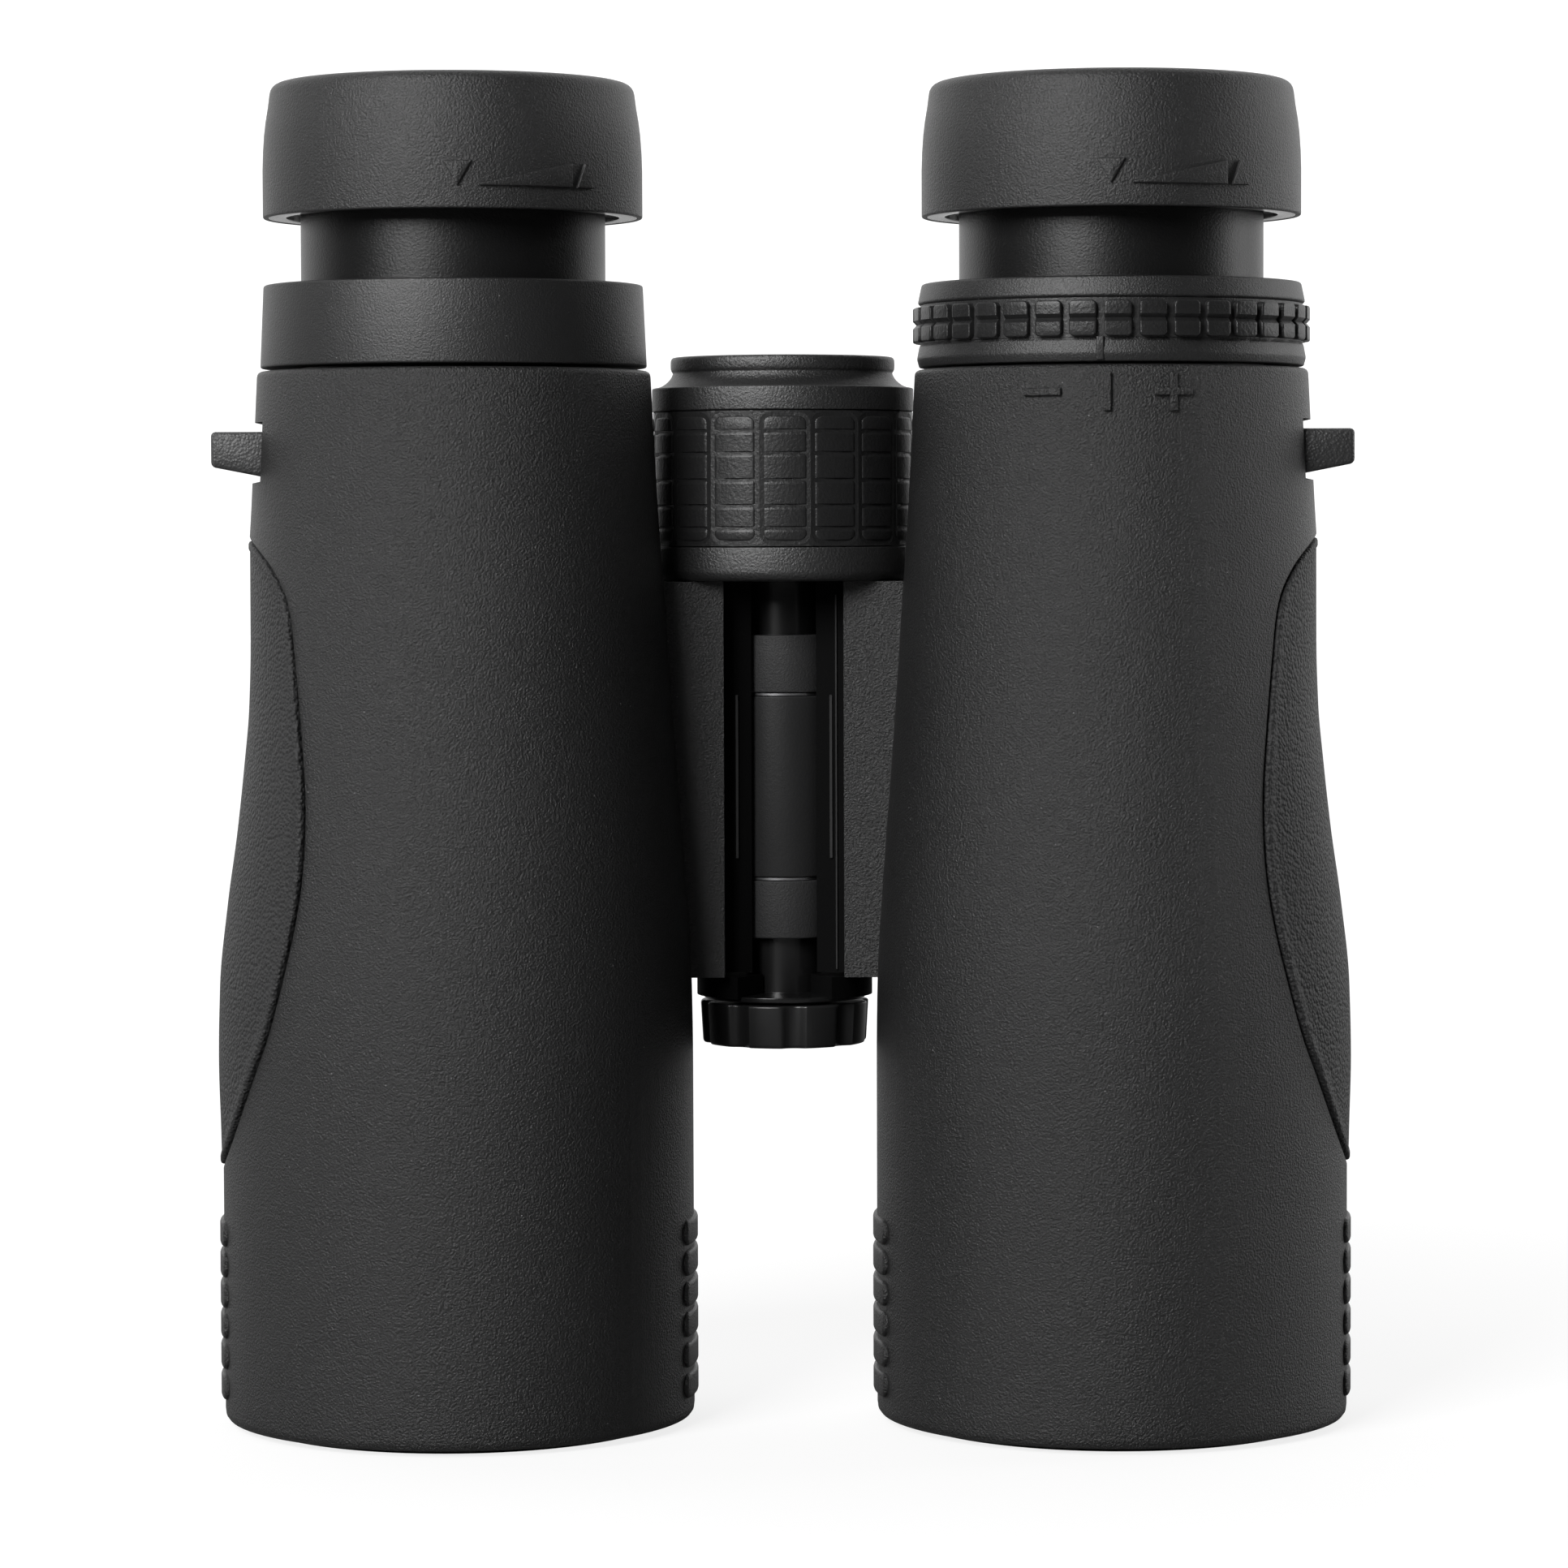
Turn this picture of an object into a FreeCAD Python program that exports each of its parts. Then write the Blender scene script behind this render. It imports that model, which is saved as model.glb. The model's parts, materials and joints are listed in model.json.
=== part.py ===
# Roof prism binoculars, standing on the objective rims with the eyepieces up.
# +Z runs along the barrels, +X to the right barrel, -Y is the underside, origin on the base between the barrels.
import FreeCAD, Part
import math
import os
import Sketcher

doc = FreeCAD.newDocument("Binoculars")
sheet = doc.addObject("Spreadsheet::Sheet", "sizes")

# Driving dimensions in millimetres (angles in degrees). Heights are above the base.
DIMENSIONS = {
    # layout of the axes
    "axis_offset": 37.0, "hinge_back": 11.0, "running_gap": 0.05, "free_gap": 0.3,
    # barrel skin
    "rim_radius": 26.6, "hood_radius": 23.0, "hood_depth": 9.0, "taper_start": 46.0,
    "skin_top": 118.6, "skin_top_radius": 22.1, "skin": 2.0, "skin_lip": 1.4,
    # casting under the skin
    "bore_hood": 23.8, "bore_objective": 22.4, "bore_front": 21.4, "bore_focus": 20.8,
    "bore_prism": 19.4, "bore_eyepiece": 18.3,
    "objective_end": 27.0, "focus_start": 60.0, "focus_end": 84.5, "prism_end": 112.0,
    # side grip pad
    "grip_bottom": 30.0, "grip_top": 99.5, "grip_wide": 27.2, "grip_narrow": 23.2,
    "grip_wide_to": 47.0, "grip_narrow_from": 79.5, "grip_thick": 0.6, "grip_groove": 0.3,
    # strap lug
    "lug_reach": 63.7, "lug_half_width": 7.5, "lug_bottom": 107.0, "lug_top": 111.8,
    "lug_bar": 1.8, "lug_slot": 2.8, "lug_slot_half": 5.5, "lug_seat": 20.8, "lug_notch": 0.6,
    # hinge webs and the skin wings over them
    "wing_bottom": 49.9, "wing_top": 94.5, "wing_edge": 6.8, "wing_front": 2.0, "wing_back": 18.9,
    "web_bottom": 51.7, "web_top": 94.0, "web_step": 6.2, "web_edge": 3.7, "web_front": 4.6,
    "web_back": 17.4, "web_slant": 0.8, "web_root": 24.0, "web_cut": 21.0, "knuckle_room": 6.3,
    # hinge knuckles and shaft
    "knuckle_radius": 5.8, "knuckle_low": 54.0, "knuckle_low_top": 60.7, "knuckle_high": 82.05,
    "knuckle_high_top": 88.7, "washer": 0.25, "shaft_radius": 4.2, "shaft_bore": 3.0, "shaft_top": 109.4,
    # focus mechanism
    "rod_radius": 1.5, "rod_bottom": 66.5, "rod_top": 113.4, "collar_radius": 2.6,
    "collar_low": 66.9, "collar_high": 75.1, "collar_long": 2.0,
    "arm_thick": 2.6, "arm_half": 0.9, "arm_low": 69.2, "arm_high": 72.2, "arm_angle": 25.0,
    "arm_elbow": 9.5, "arm_bore": 1.6, "arm_gap": 0.4, "shaft_window": 24.0, "knuckle_window": 17.0,
    "fold_angle": 53.8,
    "window_bottom": 65.8, "window_top": 78.2,
    "cell_radius": 20.5, "cell_bore": 17.6, "cell_bottom": 68.0, "cell_top": 76.0, "cell_lip": 0.8,
    # focus wheel
    "wheel_bottom": 94.9, "wheel_radius": 15.0, "wheel_band": 14.2, "band_bottom": 98.8, "band_top": 114.3,
    "flare_top": 116.85, "lip_radius": 12.8, "lip_neck": 12.2, "wheel_top": 120.4, "wheel_bore": 4.25,
    "wheel_ledge": 106.0, "wheel_well": 6.5, "wheel_relief": 15.4, "wheel_pads": 16, "pad_gap_half": 0.75,
    "pad_floor": 14.4, "pad_bottom": 99.45, "pad_top": 113.5,
    # tripod socket and its cap
    "socket_bore": 3.175, "socket_mouth": 43.6, "socket_end": 52.0, "boss_radius": 6.0,
    "flange_radius": 9.7, "flange_bottom": 46.9, "flange_top": 48.5,
    "cap_bottom": 41.7, "cap_top": 46.6, "cap_floor": 43.2, "cap_low_radius": 9.2, "cap_flutes": 9,
    "flute_radius": 2.2, "flute_centre": 11.1,
    # objective
    "objective_radius": 21.0, "crown_front": 11.6, "crown_curve": 75.0, "cement_top": 22.0,
    "cement_curve": 60.0, "flint_back": 24.4,
    # prisms
    "holder_radius": 19.1, "holder_bottom": 86.0, "holder_top": 109.4, "prism_half": 10.0, "prism_room": 0.3,
    "clamp_top": 110.2, "screw_radius": 0.8, "screw_head": 1.5, "screw_offset": 14.0, "screw_long": 5.0,
    # eyepiece
    "neck_radius": 17.1, "neck_flange": 18.2, "neck_bottom": 112.2, "neck_step": 118.4, "neck_top": 141.0,
    "eye_bore": 12.3, "eye_seat": 129.0, "field_bore": 15.4, "eye_ring_bottom": 137.0, "eye_ring_top": 138.0,
    # collar and diopter ring
    "collar_bottom": 118.9, "collar_top": 128.2, "collar_wide": 21.7, "collar_narrow": 21.3,
    "diopter_bore": 17.4, "diopter_flange": 21.75, "diopter_floor": 21.4, "diopter_pads": 36,
    "diopter_pad_radius": 22.3, "band_low": 121.6, "band_high": 125.5, "pin_groove": 18.6,
    # eyecup
    "cup_bottom": 135.7, "cup_radius": 21.2, "cup_straight": 146.5, "cup_top": 150.8, "cup_mouth": 16.8,
    "sleeve_bore": 17.4, "sleeve_radius": 18.4, "shell_bore": 18.7, "shell_radius": 19.8,
}


def fill_sheet():
    for row, (alias, value) in enumerate(DIMENSIONS.items(), start=1):
        sheet.set(f"A{row}", alias)
        sheet.set(f"B{row}", str(value))
        sheet.setAlias(f"B{row}", alias)
    doc.recompute()


def is_number(word):
    return word[0].isdigit()


def amount(text):
    """Value of a sum such as "rim_radius - skin"."""
    total = 0.0
    sign = 1
    for word in text.split():
        if word in ("+", "-"):
            sign = 1 if word == "+" else -1
            continue
        value = float(word) if is_number(word) else float(sheet.get(word))
        total += sign * value
        sign = 1
    return total


def formula(text, sign=1):
    """The same sum as an expression on the sheet."""
    words = [w if w in ("+", "-") or is_number(w) else "sizes." + w for w in text.split()]
    return ("" if sign > 0 else "-1 * ") + "(" + " ".join(words) + ")"


def span(bottom, top):
    """The distance between two heights as an expression."""
    return formula(top) + " - " + formula(bottom)


def place(item, x="0", y="0", z="0", side=1):
    """Bind the position of an item; side mirrors x."""
    item.setExpression("Placement.Base.x", formula(x, side))
    item.setExpression("Placement.Base.y", formula(y))
    item.setExpression("Placement.Base.z", formula(z))
    return item


def origin_plane(body, role):
    return [p for p in body.Origin.OriginFeatures if p.Role == role][0]


def closed_sketch(body, role, outline, side=1):
    """A closed polygon whose corners are bound to the sheet. side mirrors the first coordinate."""
    sketch = body.newObject("Sketcher::SketchObject", body.Name + "_sketch")
    sketch.AttachmentSupport = [(origin_plane(body, role), "")]
    sketch.MapMode = "FlatFace"
    corners = [FreeCAD.Vector(side * amount(a), amount(b), 0) for a, b in outline]
    for i, corner in enumerate(corners):
        sketch.addGeometry(Part.LineSegment(corner, corners[(i + 1) % len(corners)]), False)
    for i in range(len(corners)):
        sketch.addConstraint(Sketcher.Constraint("Coincident", i, 2, (i + 1) % len(corners), 1))
    for i, (a, b) in enumerate(outline):
        across = sketch.addConstraint(Sketcher.Constraint("DistanceX", -1, 1, i, 1, corners[i].x))
        up = sketch.addConstraint(Sketcher.Constraint("DistanceY", -1, 1, i, 1, corners[i].y))
        sketch.setExpression(f"Constraints[{across}]", formula(a, side))
        sketch.setExpression(f"Constraints[{up}]", formula(b))
    return sketch


def turned(name, outline):
    """A turned piece: its outline is pairs of radius and height, turned about its own Z axis."""
    body = doc.addObject("PartDesign::Body", name)
    sketch = closed_sketch(body, "XZ_Plane", outline)
    turn = body.newObject("PartDesign::Revolution", name + "_turn")
    turn.Profile = sketch
    turn.ReferenceAxis = (sketch, ["V_Axis"])
    turn.Angle = 360
    return body


def plate(name, outline, bottom, top, side=1):
    """A flat piece: an outline in X and Y, padded from one height to another."""
    body = doc.addObject("PartDesign::Body", name)
    sketch = closed_sketch(body, "XY_Plane", outline, side)
    pad = body.newObject("PartDesign::Pad", name + "_pad")
    pad.Profile = sketch
    pad.setExpression("Length", span(bottom, top))
    return place(body, z=bottom)


def cylinder(name, radius, bottom, top, x="0", y="0", side=1, angle="360", start=0.0):
    item = doc.addObject("Part::Cylinder", name)
    item.setExpression("Radius", formula(radius))
    item.setExpression("Height", span(bottom, top))
    item.setExpression("Angle", formula(angle))
    item.Placement = FreeCAD.Placement(
        FreeCAD.Vector(), FreeCAD.Rotation(FreeCAD.Vector(0, 0, 1), start))
    return place(item, x, y, bottom, side)


def sphere(name, radius, height, x="0", side=1):
    item = doc.addObject("Part::Sphere", name)
    item.setExpression("Radius", formula(radius))
    return place(item, x=x, z=height, side=side)


def box(name, low, high, side=1):
    """A box between two corners. side mirrors it in X."""
    item = doc.addObject("Part::Box", name)
    for prop, a, b in zip(("Length", "Width", "Height"), low, high):
        item.setExpression(prop, span(a, b))
    place(item, low[0] if side > 0 else high[0], low[1], low[2], side)
    return item


def bar(name, start, end, half_width, bottom, top):
    """A straight bar between two points in plan, rounded at both ends."""
    run = FreeCAD.Vector(end[0] - start[0], end[1] - start[1], 0)
    beam = doc.addObject("Part::Box", name + "_beam")
    beam.Length = run.Length
    beam.setExpression("Width", "2 * " + formula(half_width))
    beam.setExpression("Height", span(bottom, top))
    turn = FreeCAD.Rotation(FreeCAD.Vector(1, 0, 0), run)
    edge = turn.multVec(FreeCAD.Vector(0, -amount(half_width), 0))
    beam.Placement = FreeCAD.Placement(FreeCAD.Vector(start[0], start[1], amount(bottom)) + edge, turn)
    knob = cylinder(name + "_knob", half_width, bottom, top)
    knob.setExpression("Placement.Base.x", f"{end[0]:.6f}")
    knob.setExpression("Placement.Base.y", f"{end[1]:.6f}")
    return fuse(name, beam, knob)


def cut(name, base, *tools):
    item = doc.addObject("Part::Cut", name)
    item.Base = base
    item.Tool = tools[0] if len(tools) == 1 else fuse(name + "_tools", *tools)
    return item


def fuse(name, *items):
    item = doc.addObject("Part::MultiFuse", name)
    item.Shapes = list(items)
    return item


def common(name, *items):
    item = doc.addObject("Part::MultiCommon", name)
    item.Shapes = list(items)
    return item


def ring_pocket(body, name, outline, count):
    """Cut one pocket across the rim of a turned piece and repeat it round the axis."""
    doc.recompute()
    sketch = closed_sketch(body, "XY_Plane", outline)
    pocket = body.newObject("PartDesign::Pocket", name + "_pocket")
    pocket.Profile = sketch
    pocket.Type = 1
    pocket.Midplane = True
    pattern = body.newObject("PartDesign::PolarPattern", name + "_pattern")
    pattern.Originals = [pocket]
    pattern.Axis = (origin_axis(body, "Z_Axis"), [""])
    pattern.Angle = 360
    pattern.setExpression("Occurrences", formula(count))
    body.Tip = pattern
    return body


def origin_axis(body, role):
    return [a for a in body.Origin.OriginFeatures if a.Role == role][0]


nodes = []


def node(item, label):
    """Mark an item as a finished piece under its own name."""
    item.Label = label
    nodes.append(item)
    return item


def on_barrel(item, side):
    return place(item, x="axis_offset", side=side)


def barrel_point(side, radius, angle):
    """A point in plan at a radius and angle about a barrel axis, the angle measured from the hinge side."""
    turn = math.radians(angle)
    x = side * (amount("axis_offset") - radius * math.cos(turn))
    return (x, radius * math.sin(turn))


def arm_points(side):
    """The focus arm's path in plan: hinge axis, elbow, rim of the focusing cell."""
    turn = math.radians(amount("arm_angle"))
    reach = amount("arm_elbow")
    back = amount("hinge_back")
    elbow = (side * reach * math.cos(turn), back + reach * math.sin(turn))
    return (0.0, back), elbow, barrel_point(side, amount("cell_radius"), 40.0)


def arm_channel(name, side):
    """Room for the focus arm over its whole travel."""
    centre, elbow, rim = arm_points(side)
    first = bar(name + "_in", centre, elbow, "arm_half + arm_gap", "window_bottom", "window_top")
    second = bar(name + "_out", elbow, rim, "arm_half + arm_gap", "window_bottom", "window_top")
    return fuse(name, first, second)


def window(name, radius, middle, spread_back, spread_front):
    """A sector about the hinge axis that opens a wall for an arm."""
    start = middle - spread_back
    item = cylinder(name, radius, "window_bottom", "window_top", y="hinge_back", start=start)
    item.setExpression("Angle", f"{spread_back + spread_front}")
    return item


def hinge_windows(name, radius, half_angle, own_side):
    """Openings for both arms: narrow for the arm that moves with this piece, wide for the other one."""
    half = amount(half_angle)
    fold = amount("fold_angle")
    right = amount("arm_angle")
    left = 180 - right
    if own_side > 0:
        return fuse(name, window(name + "_own", radius, right, half, half),
                    window(name + "_far", radius, left, half, half + fold))
    return fuse(name, window(name + "_own", radius, left, half, half),
                window(name + "_far", radius, right, half + fold, half))


def casting(prefix, side):
    """Barrel tube with its hinge web and knuckles."""
    outline = [("bore_hood", "skin"), ("rim_radius - skin", "skin"), ("rim_radius - skin", "taper_start"),
               ("skin_top_radius - skin", "skin_top - skin_lip"), ("bore_eyepiece", "skin_top - skin_lip"),
               ("bore_eyepiece", "prism_end"), ("bore_prism", "prism_end"), ("bore_prism", "focus_end"),
               ("bore_focus", "focus_end"), ("bore_focus", "focus_start"), ("bore_front", "focus_start"),
               ("bore_front", "objective_end"), ("bore_objective", "objective_end"),
               ("bore_objective", "hood_depth"), ("bore_hood", "hood_depth")]
    tube = on_barrel(turned(prefix + "_tube_wall", outline), side)
    web = web_block(prefix + "_web", side)
    room = cylinder(prefix + "_web_room", "web_cut", "web_bottom - 1", "web_top + 1", x="axis_offset", side=side)
    swing = cylinder(prefix + "_swing", "knuckle_room", "web_bottom - 1", "web_top + 1", y="hinge_back")
    trimmed = cut(prefix + "_web_trimmed", web, room, swing)
    if side < 0:
        spans = [("knuckle_low", "knuckle_low_top"), ("knuckle_high", "knuckle_high_top")]
    else:
        spans = [("knuckle_low_top + washer + 0.1", "knuckle_high - washer - 0.1")]
    knuckles = [knuckle(f"{prefix}_knuckle{i}", low, high, side) for i, (low, high) in enumerate(spans)]
    solid = fuse(prefix + "_tube_solid", tube, trimmed, *knuckles)
    radius = "shaft_radius" if side < 0 else "shaft_radius + running_gap"
    bore = cylinder(prefix + "_hinge_bore", radius, "web_bottom", "web_top", y="hinge_back")
    cutters = [bore, arm_channel(prefix + "_channel", side)]
    if side > 0:
        cutters.append(hinge_windows(prefix + "_knuckle_windows", "knuckle_room", "knuckle_window", side))
    return node(cut(prefix + "_tube_body", solid, *cutters), prefix + "_tube")


def web_block(name, side):
    outline = [("web_root", "web_front"), ("web_step", "web_front"), ("web_edge", "web_front + web_slant"),
               ("web_edge", "web_back - web_slant"), ("web_step", "web_back"), ("web_root", "web_back")]
    return plate(name, outline, "web_bottom", "web_top", side)


def knuckle(name, low, high, side):
    """One hinge knuckle with the block that joins it to its web."""
    barrel = cylinder(name + "_round", "knuckle_radius", low, high, y="hinge_back")
    block = box(name + "_block", ("0", "hinge_back - knuckle_radius", low),
                ("knuckle_room + 2", "hinge_back + knuckle_radius", high), side)
    return fuse(name, barrel, block)


def grip_area(name, side, margin="0"):
    """The grip pad's outline seen from the front, run through the barrel."""
    body = doc.addObject("PartDesign::Body", name)
    edge = [("21.6", "grip_top"), ("18.3", "92"), ("17.1", "72"), ("17.8", "59"), ("20.3", "49"), ("24.6", "34")]
    outline = [(a + " + " + margin, b) for a, b in edge]
    outline[0] = (outline[0][0], "grip_top - " + margin)
    outline.append(("26.5", "grip_bottom + " + margin))
    outline.append(("30", "grip_bottom + " + margin))
    outline.append(("30", "grip_top - " + margin))
    sketch = closed_sketch(body, "XZ_Plane", outline, side)
    pad = body.newObject("PartDesign::Pad", name + "_pad")
    pad.Profile = sketch
    pad.Midplane = True
    pad.Length = 80
    return on_barrel(body, side)


def grip_profile(inset):
    """Points of the grip surface, from the bottom up."""
    wide = "grip_wide" + inset
    narrow = "grip_narrow" + inset
    return [(wide, "grip_bottom"), (wide, "grip_wide_to"), (narrow, "grip_narrow_from"), (narrow, "grip_top")]


def skin_and_grip(prefix, side):
    """Rubber skin over the casting, with the wing over the hinge web, and the grip pad let into it."""
    outline = [("hood_radius", "0"), ("rim_radius", "0"), ("rim_radius", "taper_start"),
               ("skin_top_radius", "skin_top"), ("bore_eyepiece + 0.1", "skin_top"),
               ("bore_eyepiece + 0.1", "skin_top - skin_lip"), ("skin_top_radius - skin", "skin_top - skin_lip"),
               ("rim_radius - skin", "taper_start"), ("rim_radius - skin", "skin"), ("bore_hood", "skin"),
               ("bore_hood", "hood_depth"), ("hood_radius", "hood_depth")]
    shell = on_barrel(turned(prefix + "_shell", outline), side)
    wing_outline = [("web_root", "wing_front"), ("wing_edge", "wing_front"), ("wing_edge", "wing_back"),
                    ("web_root", "wing_back + 1.7")]
    wing = plate(prefix + "_wing", wing_outline, "wing_bottom", "wing_top", side)
    core_outline = [("0", "wing_bottom - 1"), ("rim_radius - skin", "wing_bottom - 1"),
                    ("skin_top_radius - skin + 1.5", "wing_top + 1"), ("0", "wing_top + 1")]
    core = on_barrel(turned(prefix + "_core", core_outline), side)
    over_web = cut(prefix + "_wing_skin", wing, core, web_block(prefix + "_web_copy", side))
    skin = fuse(prefix + "_skin_solid", shell, over_web)
    relief = cylinder(prefix + "_wheel_relief", "wheel_relief", "wing_top", "wheel_top + 1", y="hinge_back")
    notch = box(prefix + "_lug_notch", ("axis_offset + 12", "0 - lug_half_width - 0.3", "lug_bottom - lug_notch"),
                ("lug_reach + 1", "lug_half_width + 0.3", "lug_top + lug_notch"), side)
    inner = [("0", "grip_bottom")] + grip_profile(" - grip_thick") + [("0", "grip_top")]
    under_grip = on_barrel(turned(prefix + "_under_grip", inner), side)
    pocket = cut(prefix + "_grip_pocket", grip_area(prefix + "_pocket_area", side), under_grip)
    web = web_block(prefix + "_web_seat", side)
    node(cut(prefix + "_armor_body", skin, web, relief, notch, pocket), prefix + "_armor")
    outside = grip_profile("")
    inside = grip_profile(" - grip_thick")
    band = on_barrel(turned(prefix + "_grip_band", outside + inside[::-1]), side)
    area = grip_area(prefix + "_grip_area", side, "grip_groove")
    node(common(prefix + "_grip_body", band, area), prefix + "_grip_pad")


def strap_lug(prefix, side):
    """Loop for the strap: a block with a slot, seated on the casting."""
    block = box(prefix + "_lug_block", ("axis_offset + 15", "0 - lug_half_width", "lug_bottom"),
                ("lug_reach", "lug_half_width", "lug_top"), side)
    slot = box(prefix + "_lug_slot", ("lug_reach - lug_bar - lug_slot", "0 - lug_slot_half", "lug_bottom - 1"),
               ("lug_reach - lug_bar", "lug_slot_half", "lug_top + 1"), side)
    seat = cylinder(prefix + "_lug_seat", "lug_seat", "lug_bottom - 1", "lug_top + 1", x="axis_offset", side=side)
    node(cut(prefix + "_lug_body", block, slot, seat), prefix + "_strap_lug")


def objective(prefix, side):
    """Cell, cemented doublet and retaining ring."""
    edge = "objective_radius + 0.1"
    cell = [("bore_objective - 0.1", "hood_depth + 0.6"), ("bore_objective - 0.1", "objective_end - 0.4"),
            ("objective_radius - 0.7", "objective_end - 0.4"), ("objective_radius - 0.7", "flint_back + 0.1"),
            (edge, "flint_back + 0.1"), (edge, "hood_depth + 0.6")]
    node(on_barrel(turned(prefix + "_objective_cell_body", cell), side), prefix + "_objective_cell")
    blank = cylinder(prefix + "_crown_blank", "objective_radius", "crown_front", "cement_top + 1",
                     x="axis_offset", side=side)
    front = sphere(prefix + "_crown_front", "crown_curve", "crown_front + crown_curve", "axis_offset", side)
    cement = sphere(prefix + "_crown_cement", "cement_curve", "cement_top - cement_curve", "axis_offset", side)
    node(common(prefix + "_crown_body", blank, front, cement), prefix + "_objective_crown")
    flint = cylinder(prefix + "_flint_blank", "objective_radius", "cement_top - 4", "flint_back",
                     x="axis_offset", side=side)
    hollow = sphere(prefix + "_flint_cement", "cement_curve", "cement_top - cement_curve", "axis_offset", side)
    node(cut(prefix + "_flint_body", flint, hollow), prefix + "_objective_flint")
    ring = [("objective_radius - 1", "crown_front + 0.4"), ("objective_radius", "crown_front + 0.4"),
            ("objective_radius", "crown_front + 2.8"), ("objective_radius - 1", "crown_front + 2.6")]
    node(on_barrel(turned(prefix + "_objective_ring_body", ring), side), prefix + "_objective_ring")


def focusing_cell(prefix, side):
    """The lens cell that slides in the barrel, with the arm that carries it."""
    low = "arm_low" if side > 0 else "arm_high"
    cell = [("cell_bore - cell_lip", "cell_bottom"), ("cell_radius", "cell_bottom"), ("cell_radius", "cell_top"),
            ("cell_bore", "cell_top"), ("cell_bore", "cell_bottom + 1"), ("cell_bore - cell_lip", "cell_bottom + 1")]
    node(on_barrel(turned(prefix + "_focus_cell_body", cell), side), prefix + "_focus_cell")
    disc = cylinder(prefix + "_focus_disc", "cell_bore - 0.1", "cell_bottom + 1", "cell_top - 1",
                    x="axis_offset", side=side)
    below = sphere(prefix + "_focus_below", "cement_curve", "cell_bottom + 3 - cement_curve", "axis_offset", side)
    above = sphere(prefix + "_focus_above", "crown_curve", "cell_top - 2.4 + crown_curve", "axis_offset", side)
    node(cut(prefix + "_focus_lens_body", disc, below, above), prefix + "_focus_lens")
    centre, elbow, rim = arm_points(side)
    top = low + " + arm_thick"
    first = bar(prefix + "_arm_in", centre, elbow, "arm_half", low, top)
    second = bar(prefix + "_arm_out", elbow, rim, "arm_half", low, top)
    eye = cylinder(prefix + "_arm_eye", "collar_radius", low, top, y="hinge_back")
    hole = cylinder(prefix + "_arm_hole", "arm_bore", low + " - 1", top + " + 1", y="hinge_back")
    seat = cylinder(prefix + "_arm_seat", "cell_radius", low + " - 1", top + " + 1", x="axis_offset", side=side)
    solid = fuse(prefix + "_arm_solid", first, second, eye)
    node(cut(prefix + "_arm_body", solid, hole, seat), prefix + "_focus_arm")


def side_plate(name, outline, half, side):
    """A prism: an outline in Y and Z, padded evenly both ways in X about the barrel axis."""
    body = doc.addObject("PartDesign::Body", name)
    sketch = closed_sketch(body, "YZ_Plane", outline)
    pad = body.newObject("PartDesign::Pad", name + "_pad")
    pad.Profile = sketch
    pad.Midplane = True
    pad.setExpression("Length", "2 * " + formula(half))
    return on_barrel(body, side)


def prisms(prefix, side):
    """Prism holder with its two prisms, clamp plate and clamp screws."""
    block = cylinder(prefix + "_holder_block", "holder_radius", "holder_bottom", "holder_top",
                     x="axis_offset", side=side)
    room = box(prefix + "_holder_room", ("axis_offset - prism_half - prism_room", "0 - 12.8", "holder_bottom + 2"),
               ("axis_offset + prism_half + prism_room", "12.8", "holder_top + 1"), side)
    light = cylinder(prefix + "_holder_light", "prism_half - 0.5", "holder_bottom - 1", "holder_bottom + 3",
                     x="axis_offset", side=side)
    taps = screw_set(prefix + "_tap", side, "screw_radius + 0.05", "clamp_top - screw_long - 0.2", "holder_top + 1")
    node(cut(prefix + "_holder_body", block, room, light, taps), prefix + "_prism_holder")
    penta = [("0 - 12", "holder_bottom + 2.3"), ("8", "holder_bottom + 2.3"), ("12.5", "holder_bottom + 6.8"),
             ("6", "holder_bottom + 12"), ("0 - 12", "holder_bottom + 7")]
    node(side_plate(prefix + "_penta_body", penta, "prism_half", side), prefix + "_half_pentaprism")
    roof = [("0 - 12", "holder_bottom + 7.5"), ("6", "holder_bottom + 12.5"), ("12.5", "holder_bottom + 17"),
            ("8", "holder_top - 0.3"), ("0 - 8", "holder_top - 0.3"), ("0 - 12.5", "holder_bottom + 18")]
    node(side_plate(prefix + "_roof_body", roof, "prism_half", side), prefix + "_roof_prism")
    lid = cylinder(prefix + "_clamp_disc", "holder_radius - 0.3", "holder_top", "clamp_top",
                   x="axis_offset", side=side)
    hole = cylinder(prefix + "_clamp_hole", "prism_half", "holder_top - 1", "clamp_top + 1",
                    x="axis_offset", side=side)
    shanks = screw_set(prefix + "_clamp_tap", side, "screw_radius + 0.05", "holder_top - 1", "clamp_top + 1")
    node(cut(prefix + "_clamp_body", lid, hole, shanks), prefix + "_prism_clamp")
    threads = screw_set(prefix + "_thread", side, "screw_radius", "clamp_top - screw_long", "clamp_top + 0.5")
    heads = screw_set(prefix + "_head", side, "screw_head", "clamp_top", "clamp_top + 1")
    node(fuse(prefix + "_prism_screws_body", threads, heads), prefix + "_prism_screws")


def screw_set(name, side, radius, bottom, top):
    """Two round bars beside the prisms."""
    first = cylinder(name + "_in", radius, bottom, top, x="axis_offset - screw_offset", side=side)
    second = cylinder(name + "_out", radius, bottom, top, x="axis_offset + screw_offset", side=side)
    return fuse(name, first, second)


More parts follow.
